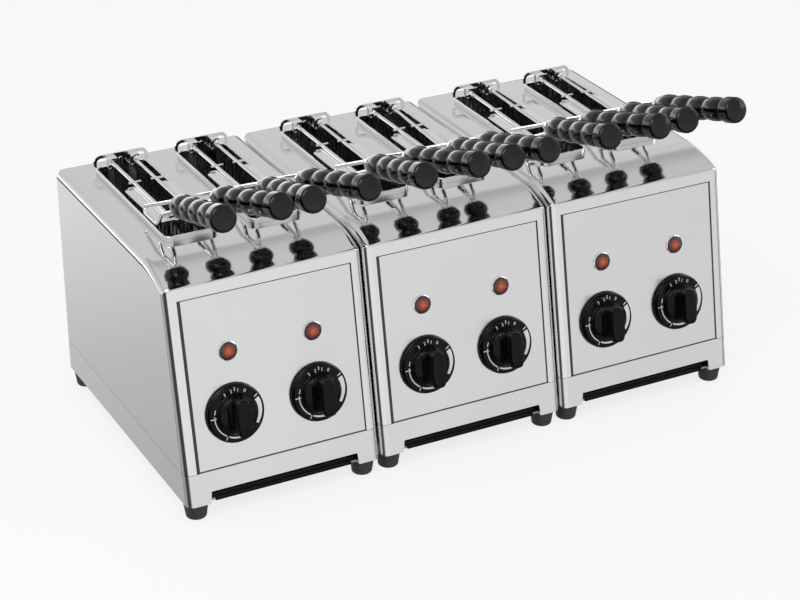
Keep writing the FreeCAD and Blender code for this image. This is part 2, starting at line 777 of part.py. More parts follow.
case_outside = side_form("case_outside", 0, CASE_BOTTOM)
case_inside = side_form("case_inside", d.sheet, CASE_BOTTOM - BEYOND)
front_opening = span_box(
    "front_opening",
    (d.post_width, d.module_width - d.post_width),
    (-BEYOND, front_deep(d.lip_top) + BEYOND),
    (CASE_BOTTOM - BEYOND, d.lip_bottom),
)
rear_opening = span_box(
    "rear_opening",
    (d.rear_opening_side, d.module_width - d.rear_opening_side),
    (d.depth - BEYOND, d.depth + BEYOND),
    (d.rear_opening_bottom, d.rear_opening_top),
)
SCREW_SIDE = d.rear_opening_side - d.rear_cover_lap / 2
SCREW_ACROSS = (SCREW_SIDE, d.module_width - SCREW_SIDE)
SCREW_HEIGHTS = (d.rear_opening_bottom + d.screw_inset, d.rear_opening_top - d.screw_inset)
SCREW_SPOTS = [(across, height) for across in SCREW_ACROSS for height in SCREW_HEIGHTS]
screw_holes = [
    deep_rod("screw_hole_" + str(i), d.screw_radius + d.hole_clearance, across,
             (d.depth - BEYOND, d.depth + BEYOND), height)
    for i, (across, height) in enumerate(SCREW_SPOTS)
]
slot_holes = [
    copy_of("slot_hole_" + str(i), hood_hole, d.slot_offset + d.slot_pitch * i)
    for i in range(SLOTS_PER_MODULE)
]
housing_form = cut(
    "housing_form", case_outside,
    [case_inside, front_opening, rear_opening] + screw_holes + slot_holes)

# The plinth, its crumb tray and its feet

def plinth_form_solid(name, inset, low, high):
    """The plinth's outer form, or the space inside it."""
    inset, low, high = length(inset), length(low), length(high)
    lean_in = inset / LEAN_COS
    body = new_body(name)
    sketch = new_sketch(body, name + "_side", "YZ_Plane")
    outline(sketch, [
        (front_deep(low) + lean_in, low),
        (front_deep(high) + lean_in, high),
        (d.depth - inset, high),
        (d.depth - inset, low),
    ])
    pad(body, sketch, d.module_width - inset * 2)
    corner = d.corner_radius - inset
    return place(
        rounded(name + "_rounded", body, lambda edge: None if lies_at(edge, UP, low, high)
                else corner if lies_at(edge, ACROSS, 0, d.module_width - inset * 2) else None),
        inset, 0, 0)


plinth_outside = plinth_form_solid("plinth_outside", 0, d.foot_height, d.plinth_top)
plinth_inside = plinth_form_solid(
    "plinth_inside", d.plinth_sheet, RAIL_TOP, d.plinth_top + BEYOND)
plinth_cutout = new_body("plinth_cutout")
cutout_sketch = new_sketch(plinth_cutout, "cutout_front", "XZ_Plane")
outline(cutout_sketch, [
    (d.cutout_side, d.cutout_top),
    (d.module_width - d.cutout_side, d.cutout_top),
    (d.module_width - d.cutout_side + d.cutout_flare, d.foot_height - 1),
    (d.cutout_side - d.cutout_flare, d.foot_height - 1),
])
pad(plinth_cutout, cutout_sketch, d.plinth_sheet * 4, True)
place(plinth_cutout, 0, -d.plinth_sheet, 0)
plinth_floor_hole = span_box(
    "plinth_floor_hole",
    (d.rail_width, d.module_width - d.rail_width),
    (-BEYOND, d.depth - d.rear_strip),
    (d.foot_height - BEYOND, RAIL_TOP + 1),
)
FOOT_SPOTS = [
    (across, deep)
    for across in (d.foot_inset, d.module_width - d.foot_inset)
    for deep in (d.foot_depth_inset, d.depth - d.foot_depth_inset)
]
foot_holes = [
    place(cylinder("foot_hole_" + str(i), d.foot_nub_radius + d.hole_clearance, BEYOND * 2),
          across, deep, d.foot_height - BEYOND)
    for i, (across, deep) in enumerate(FOOT_SPOTS)
]
plinth_form = cut(
    "plinth_form", plinth_outside,
    [plinth_inside, plinth_cutout, plinth_floor_hole] + foot_holes)

foot_form = new_body("foot_form")
foot_sketch = new_sketch(foot_form, "foot_side", "XZ_Plane")
NUB_HEAD = d.foot_nub_radius + 1.5
outline(
    foot_sketch,
    [
        (0, 0),
        (d.foot_bottom_radius - d.foot_rounding, 0),
        (d.foot_bottom_radius, d.foot_rounding),
        (d.foot_top_radius, d.foot_height),
        (d.foot_nub_radius, d.foot_height),
        (d.foot_nub_radius, RAIL_TOP),
        (NUB_HEAD, RAIL_TOP),
        (NUB_HEAD, RAIL_TOP + 1.5),
        (0, RAIL_TOP + 1.5),
    ],
    {1: d.foot_rounding},
)
revolve(foot_form, foot_sketch)
module_feet = group("module_feet", [
    copy_of("foot_" + str(i), foot_form, across, deep)
    for i, (across, deep) in enumerate(FOOT_SPOTS)
])

TRAY_LOW = RAIL_TOP + d.tray_clearance
TRAY_HIGH = TRAY_LOW + d.tray_height
TRAY_SIDE = d.cutout_side + d.tray_side_clearance
TRAY_BACK = d.depth - d.tray_rear_gap
PAN_LOW = d.foot_height + d.pan_clearance
PAN_SIDE = TRAY_SIDE + d.pan_side
PAN_BACK = d.depth - d.rear_strip - d.pan_rear_gap


def tray_layer(name, inset, side, back, low, high):
    """A level layer of the tray, or of the room in it, as far from the tray's sides as its inset says."""
    return span_box(
        name,
        (side + inset, d.module_width - side - inset),
        (d.tray_setback + inset, back - inset),
        (low, high))


# two layers: flanges that run on the rails, and a pan sunk between the rails
tray_form = cut(
    "tray_form",
    joined("tray_blank", [
        tray_layer("tray_upper", 0, TRAY_SIDE, TRAY_BACK, TRAY_LOW, TRAY_HIGH),
        tray_layer("tray_pan", 0, PAN_SIDE, PAN_BACK, PAN_LOW, TRAY_LOW),
    ]),
    [
        tray_layer("tray_room", d.tray_sheet, TRAY_SIDE, TRAY_BACK,
                   TRAY_LOW + d.tray_sheet, TRAY_HIGH + 1),
        tray_layer("pan_room", d.tray_sheet, PAN_SIDE, PAN_BACK,
                   PAN_LOW + d.tray_sheet, TRAY_LOW + d.tray_sheet),
    ])

tie_form = span_box(
    "tie_form", (-d.tie_half_length, d.tie_half_length), (-d.tie_width / 2, d.tie_width / 2),
    (d.foot_height - d.tie_sheet, d.foot_height))

# The front panel with its lamps, timers and knobs

PANEL_LOW = d.plinth_top + (d.sheet + d.panel_sheet) * LEAN_SIN
PANEL_LENGTH = (d.lip_bottom + d.panel_lap - PANEL_LOW) / LEAN_COS
KNOB_SPOTS = [d.knob_offset + d.knob_pitch * i for i in range(SLOTS_PER_MODULE)]


def up_panel(height):
    """Distance up the panel from its lower edge to a height."""
    return (height - PANEL_LOW) / LEAN_COS


panel_body = new_body("panel_body")
panel_sketch = new_sketch(panel_body, "panel_outline", "XY_Plane")
rectangle(panel_sketch, (d.panel_side, 0), (d.module_width - d.panel_side, PANEL_LENGTH))
for knob_across in KNOB_SPOTS:
    circle(panel_sketch, knob_across, up_panel(d.knob_height), d.bush_radius + d.hole_clearance)
    circle(panel_sketch, knob_across, up_panel(d.lamp_height),
           d.lamp_barrel_radius + d.hole_clearance)
pad(panel_body, panel_sketch, d.panel_sheet, True)
panel_form = place_on_panel(group("panel_form", [panel_body]), 0, PANEL_LOW)

timer_back = d.panel_sheet + d.timer_depth
timer_case = place(
    box("timer_case", d.timer_width, d.timer_width, d.timer_depth),
    -d.timer_width / 2, -d.timer_width / 2, -timer_back)
timer_bush = place(
    cylinder("timer_bush", d.bush_radius, d.panel_sheet * 2 + d.bush_stand), 0, 0,
    -d.panel_sheet * 2)
timer_bore = place(
    cylinder("timer_bore", d.shaft_radius + d.running_clearance,
             d.shaft_length + d.bush_stand + BEYOND), 0, 0, -d.shaft_length - 1)
timer_form = cut("timer_form", joined("timer_blank", [timer_case, timer_bush]), [timer_bore])

bezel_form = new_body("bezel_form")
bezel_sketch = new_sketch(bezel_form, "bezel_side", "XZ_Plane")
BEZEL_BORE = d.lens_radius + d.lens_clearance
outline(bezel_sketch, [
    (0, -d.lamp_barrel_length),
    (d.lamp_barrel_radius, -d.lamp_barrel_length),
    (d.lamp_barrel_radius, 0),
    (d.lamp_flange_radius, 0),
    (d.lamp_flange_radius, d.lamp_flange_height * 0.5),
    (d.lamp_barrel_radius, d.lamp_flange_height),
    (BEZEL_BORE, d.lamp_flange_height),
    (BEZEL_BORE, -d.lens_length),
    (0, -d.lens_length),
])
revolve(bezel_form, bezel_sketch)

lens_form = new_body("lens_form")
lens_sketch = new_sketch(lens_form, "lens_side", "XZ_Plane")
DOME_RADIUS = (d.lens_radius * d.lens_radius + d.lens_dome * d.lens_dome) / (d.lens_dome * 2)
outline(
    lens_sketch,
    [
        (0, -d.lens_length),
        (d.lens_radius, -d.lens_length),
        (d.lens_radius, d.lens_stand),
        (0, d.lens_stand + d.lens_dome),
    ],
    {2: DOME_RADIUS},
)
revolve(lens_form, lens_sketch)

knob_form = new_body("knob_form")
knob_sketch = new_sketch(knob_form, "knob_side", "XZ_Plane")
SKIRT_FACE = d.skirt_gap + d.skirt_height
HUB_TOP = SKIRT_FACE + d.hub_height
outline(knob_sketch, [
    (0, -d.shaft_length),
    (d.shaft_radius, -d.shaft_length),
    (d.shaft_radius, d.skirt_gap),
    (d.skirt_radius, d.skirt_gap),
    (d.skirt_radius, d.skirt_gap + d.skirt_height / 3),
    (d.skirt_face_radius, SKIRT_FACE),
    (d.hub_radius, SKIRT_FACE),
    (d.hub_top_radius, HUB_TOP),
    (0, HUB_TOP),
])
revolve(knob_form, knob_sketch)
bar_sketch = new_sketch(knob_form, "knob_bar", "XY_Plane", HUB_TOP)
BAR_HALF = d.grip_bar_width / 2
BAR_REACH = root(d.grip_bar_reach * d.grip_bar_reach - BAR_HALF * BAR_HALF)
outline(
    bar_sketch,
    [
        (-BAR_HALF, -BAR_REACH),
        (BAR_HALF, -BAR_REACH),
        (BAR_HALF, BAR_REACH),
        (-BAR_HALF, BAR_REACH),
    ],
    {0: d.grip_bar_reach, 2: d.grip_bar_reach},
)
pad(knob_form, bar_sketch, d.grip_bar_height)
body_fillet(knob_form, d.grip_bar_corner,
            lambda edge: edge.BoundBox.ZLength > d.grip_bar_height.value - 1)
body_fillet(knob_form, d.grip_bar_rounding,
            lambda edge: lies_at(edge, UP, HUB_TOP + d.grip_bar_height))

# The rear

cover_body = new_body("cover_body")
cover_sketch = new_sketch(cover_body, "cover_outline", "XZ_Plane")
COVER_SIDE = d.rear_opening_side - d.rear_cover_lap
rectangle(
    cover_sketch,
    (COVER_SIDE, d.rear_opening_bottom - d.rear_cover_lap),
    (d.module_width - COVER_SIDE, d.rear_opening_top + d.rear_cover_lap))
for screw_across, screw_height in SCREW_SPOTS:
    circle(cover_sketch, screw_across, screw_height, d.screw_radius + d.hole_clearance)
circle(cover_sketch, d.module_width / 2, d.gland_height,
       d.gland_barrel_radius + d.hole_clearance)
for vent in range(VENTS):
    vent_low = d.vent_start + d.vent_pitch * vent
    rectangle(
        cover_sketch,
        (d.module_width / 2 - d.vent_width / 2, vent_low),
        (d.module_width / 2 + d.vent_width / 2, vent_low + d.vent_height))
pad(cover_body, cover_sketch, d.rear_cover_sheet, True)
cover_form = place(group("cover_form", [cover_body]), 0, d.depth, 0)

SCREW_REACH = d.sheet * 4
screw_form = joined("screw_form", [
    deep_rod("screw_shank", d.screw_radius, 0, (d.depth - SCREW_REACH, d.depth + 2), 0),
    deep_rod("screw_head", d.screw_head_radius, 0,
             (d.depth + d.rear_cover_sheet, d.depth + d.rear_cover_sheet + d.screw_head_height),
             0),
])
module_screws = group("module_screws", [
    copy_of("screw_" + str(i), screw_form, across, 0, height)
    for i, (across, height) in enumerate(SCREW_SPOTS)
])
gland_form = cut(
    "gland_form",
    joined("gland_blank", [
        deep_rod("gland_barrel", d.gland_barrel_radius, 0,
                 (d.depth - d.gland_inner, d.depth + d.gland_stand), 0),
        deep_rod("gland_nut", d.gland_radius, 0,
                 (d.depth + d.rear_cover_sheet, d.depth + d.gland_stand - 4), 0),
        deep_rod("gland_lock", d.gland_radius, 0, (d.depth - d.gland_inner + 2, d.depth), 0),
    ]),
    [deep_rod("gland_bore", d.gland_bore, 0,
              (d.depth - d.gland_inner - 1, d.depth + d.gland_stand + 1), 0)])

# The elements and their frames

FRAME_FRONT = d.slot_front - d.bulkhead_gap
FRAME_BACK = d.slot_back + d.bulkhead_gap
ELEMENT_SPOTS = [
    (d.slot_offset + d.slot_pitch * slot + d.element_offset * side,
     d.element_low + d.element_pitch * level)
    for slot in range(SLOTS_PER_MODULE)
    for side in (-1, 1)
    for level in range(ELEMENTS_PER_SIDE)
]


def bulkhead(name, deep):
    """An upright plate with a hole for each tube, standing on the plinth's rails."""
    body = new_body(name)
    sketch = new_sketch(body, name + "_face", "XZ_Plane")
    far = d.module_width - d.bulkhead_side
    outline(sketch, [
        (d.bulkhead_side, RAIL_TOP),
        (d.bulkhead_side + d.bulkhead_foot, RAIL_TOP),
        (d.bulkhead_side + d.bulkhead_foot, d.bulkhead_arch),
        (far - d.bulkhead_foot, d.bulkhead_arch),
        (far - d.bulkhead_foot, RAIL_TOP),
        (far, RAIL_TOP),
        (far, d.bulkhead_top),
        (d.bulkhead_side, d.bulkhead_top),
    ])
    for across, height in ELEMENT_SPOTS:
        circle(sketch, across, height, d.element_radius + d.element_hole_clearance)
    pad(body, sketch, d.bulkhead_sheet, True)
    return place(body, 0, deep, 0)


guard_wires = [
    deep_rod(
        "guard_" + str(slot) + "_" + str(int(side)) + "_" + str(level), d.guard_radius,
        d.slot_offset + d.slot_pitch * slot + d.guard_offset * side,
        (FRAME_FRONT - d.bulkhead_sheet / 2, FRAME_BACK + d.bulkhead_sheet / 2),
        d.guard_low + d.guard_pitch * level)
    for slot in range(SLOTS_PER_MODULE)
    for side in (-1, 1)
    for level in range(GUARD_WIRES)
]
frame_form = joined(
    "frame_form",
    [bulkhead("front_bulkhead", FRAME_FRONT - d.bulkhead_sheet),
     bulkhead("rear_bulkhead", FRAME_BACK)] + guard_wires)
TUBE_FRONT = FRAME_FRONT - d.bulkhead_sheet
TUBE_BACK = FRAME_BACK + d.bulkhead_sheet
tube_form = deep_rod("tube_form", d.element_radius, 0, (TUBE_FRONT, TUBE_BACK), 0)
front_cap = deep_rod("front_cap", d.element_cap_radius, 0,
                     (TUBE_FRONT - d.element_cap_length, TUBE_FRONT), 0)
rear_cap = deep_rod("rear_cap", d.element_cap_radius, 0,
                    (TUBE_BACK, TUBE_BACK + d.element_cap_length), 0)
cap_pair = group("cap_pair", [front_cap, rear_cap])
module_tubes = group("module_tubes", [
    copy_of("tube_" + str(i), tube_form, across, 0, height)
    for i, (across, height) in enumerate(ELEMENT_SPOTS)
])
module_caps = group("module_caps", [
    copy_of("cap_" + str(i), cap_pair, across, 0, height)
    for i, (across, height) in enumerate(ELEMENT_SPOTS)
])

# The tongs. A jaw's own origin is on its pivot; the left jaw is drawn and then mirrored.

def from_pivot(across, deep, height):
    """A place in the left half of a tong, given from the left jaw's pivot."""
    return (length(across) + d.bar_offset, length(deep) - d.pivot_deep, length(height))


GRIP_FOOT = from_pivot(-d.grip_across, d.grip_deep, d.grip_foot_height)
GRIP_END = from_pivot(-d.grip_end_across, d.grip_end_deep, d.grip_end_height)
GRIP_WAY = [end - foot for foot, end in zip(GRIP_FOOT, GRIP_END)]
GRIP_TURN = arc_cosine(GRIP_WAY[2] / GRIP_LENGTH)
GRIP_AXIS = (-GRIP_WAY[1].value, GRIP_WAY[0].value, 0)


def along_grip(distance):
    """A place on the grip's own axis, counted from its foot."""
    return [foot + way * (length(distance) / GRIP_LENGTH) for foot, way in zip(GRIP_FOOT, GRIP_WAY)]


grip_body = new_body("grip_body")
grip_sketch = new_sketch(grip_body, "grip_side", "XZ_Plane")
NECK_END = GRIP_LENGTH - d.grip_cap_start
NECK_START = NECK_END - d.grip_neck_length
RING_LENGTH = (NECK_START - d.grip_collar_length) / GRIP_RINGS
RING_BULGE = d.grip_ring_radius - d.grip_groove_radius
RING_ARC = (RING_LENGTH * RING_LENGTH / 4 + RING_BULGE * RING_BULGE) / (RING_BULGE * 2)
TANG_BORE = d.bar_radius + d.tang_clearance
TANG_BORE_END = d.tang_length + d.tang_room
CAP_FLAT = d.grip_cap_radius - d.grip_cap_rounding
DOME_ARC = (CAP_FLAT * CAP_FLAT + d.grip_cap_dome * d.grip_cap_dome) / (d.grip_cap_dome * 2)
grip_points = [(TANG_BORE, 0), (d.grip_foot_radius, 0)]
grip_points += [
    (d.grip_groove_radius, d.grip_collar_length + RING_LENGTH * i)
    for i in range(GRIP_RINGS + 1)
]
grip_arcs = {2 + i: RING_ARC for i in range(GRIP_RINGS)}
grip_points += [
    (d.grip_neck_radius, NECK_START + d.grip_neck_length / 3),
    (d.grip_neck_radius, NECK_END),
    (CAP_FLAT, NECK_END),
    (d.grip_cap_radius, NECK_END + d.grip_cap_rounding),
    (d.grip_cap_radius, CAP_END - d.grip_cap_rounding),
    (CAP_FLAT, CAP_END),
    (0, CAP_END + d.grip_cap_dome),
    (0, TANG_BORE_END),
    (TANG_BORE, TANG_BORE_END),
]
cap_edge = 2 + GRIP_RINGS + 3
grip_arcs[cap_edge] = d.grip_cap_rounding
grip_arcs[cap_edge + 2] = d.grip_cap_rounding
grip_arcs[cap_edge + 3] = DOME_ARC
outline(grip_sketch, grip_points, grip_arcs)
revolve(grip_body, grip_sketch)
left_grip = place(
    group("left_grip_form", [grip_body]), *GRIP_FOOT, GRIP_AXIS, GRIP_TURN)

ferrule = place(
    cylinder("ferrule", d.ferrule_radius, d.ferrule_length),
    *along_grip(-d.ferrule_length), GRIP_AXIS, GRIP_TURN)
LOOP_LOW = COLLAR_TOP + d.loop_rest_gap + d.loop_radius
LOOP_FOOT_ACROSS = d.grip_across + 1
jaw_wires = [
    bent_wire(
        "jaw_bar",
        [
            from_pivot(-d.bar_offset, d.pivot_deep - d.eye_radius * 0.8, d.bar_height),
            from_pivot(-d.bar_offset, d.bar_front, d.bar_height),
            GRIP_FOOT,
            along_grip(d.tang_length),
        ],
        [d.bar_bend.value, d.bar_bend.value],
        d.bar_radius,
    ),
    bent_wire(
        "jaw_loop",
        [
            from_pivot(-LOOP_FOOT_ACROSS, d.grip_deep + 2.5, d.grip_foot_height + 3.5),
            from_pivot(-d.loop_across, d.loop_back - 1, d.loop_shoulder + 1),
            from_pivot(-d.loop_across, d.loop_back + 2, LOOP_LOW),
            from_pivot(-d.loop_across, d.loop_front, LOOP_LOW),
            from_pivot(-d.loop_across, d.loop_rise_deep, d.loop_rise_height),
            from_pivot(-LOOP_FOOT_ACROSS, d.grip_deep + 1.5, d.grip_foot_height - 4.5),
        ],
        [3, 3, 8, 10],
        d.loop_radius,
    ),
    bent_wire(
        "jaw_edge",
        [
            from_pivot(-d.bar_offset, d.grid_front, d.bar_height),
            from_pivot(-d.bar_offset, d.grid_front, d.grid_bottom),
            from_pivot(-d.bar_offset, d.grid_back, d.grid_bottom),
            from_pivot(-d.bar_offset, d.grid_back, d.bar_height),
        ],
        [6, 6],
        d.grid_edge_radius,
    ),
]
jaw_grid = [
    place(
        cylinder("jaw_upright_" + str(i), d.grid_wire_radius, d.bar_height - d.grid_bottom),
        *from_pivot(
            -d.bar_offset,
            d.grid_front + (d.grid_back - d.grid_front) / GRID_GAPS * i,
            d.grid_bottom,
        ))
    for i in range(1, GRID_GAPS)
]
wing_body = new_body("wing_body")
WING_TOP = d.bar_height - d.bar_radius + d.wing_bite
wing_sketch = new_sketch(wing_body, "wing_plan", "XY_Plane", WING_TOP)
WING_OUT = from_pivot(-d.wing_edge, 0, 0)[0]
WING_FRONT = from_pivot(0, d.wing_front, 0)[1]
WING_BACK = from_pivot(0, d.wing_back, 0)[1]
outline(
    wing_sketch,
    [
        (0, WING_FRONT),
        (0, WING_BACK),
        (WING_OUT + d.wing_corner, WING_BACK),
        (WING_OUT, WING_BACK - d.wing_corner),
        (WING_OUT, WING_FRONT),
    ],
    {2: -d.wing_corner},
)
pad(wing_body, wing_sketch, d.wing_sheet, True)
clip = across_rod(
    "jaw_clip", d.clip_radius,
    (d.bar_offset - d.clip_outer, d.bar_offset - d.clip_inner),
    d.wing_back + 2 - d.pivot_deep, d.bar_height + d.bar_radius - 0.4)
eye = place(cylinder("jaw_eye", d.eye_radius, d.eye_half_height * 2), 0, 0,
            d.bar_height - d.eye_half_height)
eye_hole = place(
    cylinder("jaw_eye_hole", d.pin_radius + d.running_clearance, d.eye_half_height * 4), 0, 0,
    d.bar_height - d.eye_half_height * 2)
jaw_solid = joined("jaw_solid", [eye, ferrule, clip, wing_body] + jaw_wires + jaw_grid)
jaw_form = cut("jaw_form", jaw_solid, [eye_hole])
stop_shank = across_rod(
    "stop_shank", d.stop_radius,
    (d.bar_offset - d.loop_across + d.loop_radius + d.stop_gap, d.bar_offset + d.stop_end),
    d.stop_deep - d.pivot_deep, d.stop_height)
stop_nut = across_rod(
    "stop_nut", d.stop_nut_radius,
    (d.bar_offset - d.stop_nut_end - d.stop_nut_length, d.bar_offset - d.stop_nut_end),
    d.stop_deep - d.pivot_deep, d.stop_height)
left_jaw_form = group("left_jaw_form", [jaw_form, joined("stop_bolt", [stop_shank, stop_nut])])


def mirrored(name, thing):
    """The thing seen in a mirror across its own middle."""
    result = doc.addObject("Part::Mirroring", name)
    result.Source = thing
    result.Normal = Vector(1, 0, 0)
    result.Base = Vector(0, 0, 0)
    return result


right_jaw_form = mirrored("right_jaw_form", jaw_form)
right_grip = mirrored("right_grip_form", left_grip)

HANGER_BACK = d.slot_back - d.hanger_gap
HANGER_FRONT = HANGER_BACK - d.hanger_sheet
hanger_body = new_body("hanger_body")
hanger_sketch = new_sketch(hanger_body, "hanger_face", "XZ_Plane")
HANGER_REST = COLLAR_TOP + d.hanger_rest_gap
ARCH_INNER = d.hanger_half_width - d.hanger_arch
ARCH_BEND = d.hanger_half_width - d.hanger_corner
ARCH_LOW = d.hanger_top - d.hanger_corner
ARCH_UNDER = d.hanger_top - d.hanger_arch
right_half = [
    (ARCH_BEND, d.hanger_top),
    (d.hanger_half_width, ARCH_LOW),
    (d.hanger_half_width, HANGER_REST),
    (ARCH_INNER, HANGER_REST),
    (ARCH_INNER, ARCH_LOW),
    (ARCH_BEND, ARCH_UNDER),
    (d.hanger_panel, ARCH_UNDER),
    (d.hanger_panel, d.hanger_drop),
]
left_half = [(-across, height) for across, height in reversed(right_half)]
INNER_CORNER = d.hanger_corner - d.hanger_arch
outline(
    hanger_sketch,
    right_half + left_half,
    {0: -d.hanger_corner, 4: INNER_CORNER, 10: INNER_CORNER, 14: -d.hanger_corner},
)
pad(hanger_body, hanger_sketch, d.hanger_sheet, True)
place(hanger_body, 0, HANGER_FRONT, 0)
tabs_and_pins = []
TAB_LEVELS = {
    "upper": d.bar_height + d.eye_half_height + d.tab_gap,
    "lower": d.bar_height - d.eye_half_height - d.tab_gap - d.tab_sheet,
}
for side_name, side in (("left", -1), ("right", 1)):
    tab_middle = d.bar_offset * side
    for level_name, level in TAB_LEVELS.items():
        tabs_and_pins.append(span_box(
            side_name + "_" + level_name + "_tab",
            (tab_middle - d.tab_half_width, tab_middle + d.tab_half_width),
            (d.pivot_deep - d.tab_half_width, HANGER_FRONT + d.hanger_sheet / 2),
            (level, level + d.tab_sheet)))
    tabs_and_pins.append(place(
        cylinder(side_name + "_pin", d.pin_radius,
                 TAB_LEVELS["upper"] - TAB_LEVELS["lower"] + d.tab_sheet / 2),
        tab_middle, d.pivot_deep, TAB_LEVELS["lower"] + d.tab_sheet / 2))
rivet = deep_rod("hanger_rivet", d.rivet_radius, 0,
                 (HANGER_FRONT - d.rivet_height, HANGER_FRONT + d.hanger_sheet / 2),
                 d.bar_height)
hanger_form = joined("hanger_form", [hanger_body, rivet] + tabs_and_pins)

# Everything in its place in the row

nodes = []


def in_row(name, thing, across, deep=0, axis=None, angle=0):
    """A finished piece of its own, placed from the middle of the whole object."""
    node = copy_of(name, thing, across, deep - DEEP_ORIGIN, 0, axis, angle)
    nodes.append(node)
    return node


def shared(name, parts):
    """One node for identical pieces in all modules."""
    node = place(group(name, parts), 0, -DEEP_ORIGIN, 0)
    nodes.append(node)
    return node


def in_each_module(name, thing, on_panel_height=None, spots=(0,), height=0):
    """Copies of a thing in every module, on the panel's face where a height is given."""
    copies = []
    for number in range(len(MODULES)):
        for spot, offset in enumerate(spots):
            copied = group(name + "_" + str(number) + "_" + str(spot), [thing])
            across = module_left(number) + offset
            if on_panel_height is None:
                place(copied, across, 0, height)
            else:
                place_on_panel(copied, across, on_panel_height)
            copies.append(copied)
    return copies


for number, module in enumerate(MODULES):
    left = module_left(number)
    in_row("housing_" + module, housing_form, left)
    in_row("front_panel_" + module, panel_form, left)
    in_row("plinth_" + module, plinth_form, left)
    in_row("crumb_tray_" + module, tray_form, left)

KNOB_DEEP = front_deep(d.knob_height) + d.sheet * LEAN_COS
KNOB_UP = d.knob_height - d.sheet * LEAN_SIN
for number in range(len(MODULES) * SLOTS_PER_MODULE):
    module, slot = divmod(number, SLOTS_PER_MODULE)
    knob = group("knob_" + str(number + 1), [knob_form])
    place(knob, module_left(module) + KNOB_SPOTS[slot], KNOB_DEEP - DEEP_ORIGIN, KNOB_UP,
          (1, 0, 0), PANEL_TURN)
    nodes.append(knob)

slot_spots = [d.slot_offset + d.slot_pitch * i for i in range(SLOTS_PER_MODULE)]
tie_spots = [
    copy_of("tie_" + str(number) + "_" + str(end), tie_form,
            module_left(number) + d.module_width + (d.module_pitch - d.module_width) / 2, deep)
    for number in range(len(MODULES) - 1)
    for end, deep in enumerate((d.tie_inset, d.depth - d.tie_inset))
]
shared("slot_collars", in_each_module("collar", collar_form, spots=slot_spots))
shared("rear_covers", in_each_module("rear_cover", cover_form))
shared("cable_glands", in_each_module(
    "cable_gland", gland_form, spots=[d.module_width / 2], height=d.gland_height))
shared("case_screws", in_each_module("case_screw", module_screws))
shared("rubber_feet", in_each_module("rubber_foot", module_feet))
shared("tie_bars", tie_spots)
shared("lamp_bezels", in_each_module("lamp_bezel", bezel_form, d.lamp_height, KNOB_SPOTS))
shared("lamp_lenses", in_each_module("lamp_lens", lens_form, d.lamp_height, KNOB_SPOTS))
shared("timers", in_each_module("timer", timer_form, d.knob_height, KNOB_SPOTS))
shared("element_frames", in_each_module("element_frame", frame_form))
shared("quartz_tubes", in_each_module("quartz_tubes", module_tubes))
shared("tube_caps", in_each_module("tube_caps", module_caps))

for number in range(len(MODULES) * SLOTS_PER_MODULE):
    tong = "tong_" + str(number + 1)
    middle = slot_middle(number)
    squeeze = REST_SQUEEZE[number]
    turn = TONG_TURN[number]
    in_row(tong + "_hanger", hanger_form, middle)
    for side_name, side, jaw, grip in (
        ("left", -1, left_jaw_form, left_grip),
        ("right", 1, right_jaw_form, right_grip),
    ):
        for piece_name, piece in (("jaw", jaw), ("grip", grip)):
            in_row(
                tong + "_" + side_name + "_" + piece_name,
                piece,
                middle + d.bar_offset * side,
                d.pivot_deep,
                (0, 0, 1),
                turn - side * squeeze,
            )

doc.recompute()
for thing in doc.Objects:
    if "Invalid" in thing.State or "Error" in thing.State:
        raise ValueError(thing.Name + " did not build: " + str(thing.State))
faulty = [n.Name for n in nodes if n.Shape.isNull() or not n.Shape.isValid()]
if faulty:
    raise ValueError("no valid shape: " + ", ".join(faulty))

os.makedirs("parts", exist_ok=True)
for node in nodes:
    node.Shape.exportStep(os.path.join("parts", node.Label + ".step"))
print(len(nodes), "nodes")
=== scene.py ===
"""
Looks for the clamp toaster: finishes, pieces finer than the solids, studio and camera.

Metres, +Z up, the fronts face -Y. Module-local places below are given in millimetres:
across from the module's left side, deep from the plinth's front edge, height above the table.
"""

import json
import math

import bmesh
import bpy
import numpy as np
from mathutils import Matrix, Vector


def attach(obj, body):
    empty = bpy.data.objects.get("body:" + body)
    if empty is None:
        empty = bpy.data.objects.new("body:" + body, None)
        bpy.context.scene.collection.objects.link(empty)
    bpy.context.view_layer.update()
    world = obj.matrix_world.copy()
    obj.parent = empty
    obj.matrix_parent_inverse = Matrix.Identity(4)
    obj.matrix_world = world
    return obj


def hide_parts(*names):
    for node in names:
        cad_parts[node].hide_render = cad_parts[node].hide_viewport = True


MM = 0.001

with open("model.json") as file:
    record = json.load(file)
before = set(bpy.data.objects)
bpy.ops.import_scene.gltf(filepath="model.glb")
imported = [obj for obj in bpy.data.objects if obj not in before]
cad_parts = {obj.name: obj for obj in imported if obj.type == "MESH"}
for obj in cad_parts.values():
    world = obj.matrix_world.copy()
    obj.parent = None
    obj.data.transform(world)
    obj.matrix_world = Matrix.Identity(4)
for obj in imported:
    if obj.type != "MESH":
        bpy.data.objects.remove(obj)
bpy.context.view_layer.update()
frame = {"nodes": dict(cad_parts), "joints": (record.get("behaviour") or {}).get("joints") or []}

MODULES = ("left", "middle", "right")
SLOTS = 6
# Tongs, knobs and lamps are numbered as the slots are, from the left
SLOT_NUMBERS = range(1, SLOTS + 1)
# How far the fronts lean back, as in the solids
LEAN = math.radians(10.5)
# Sizes shared with the solids, in millimetres
ROW_LEFT = -269.25
MODULE_PITCH = 180.0
DEEP_ORIGIN = 134.5
KNOB_ACROSS = 50.5
KNOB_UP = 88.0
LAMP_UP = 141.0
POST_WIDTH = 11.0
MODULE_WIDTH = 178.5
PANEL_LOW = 44.0
LIP_LOW = 191.0


# Materials

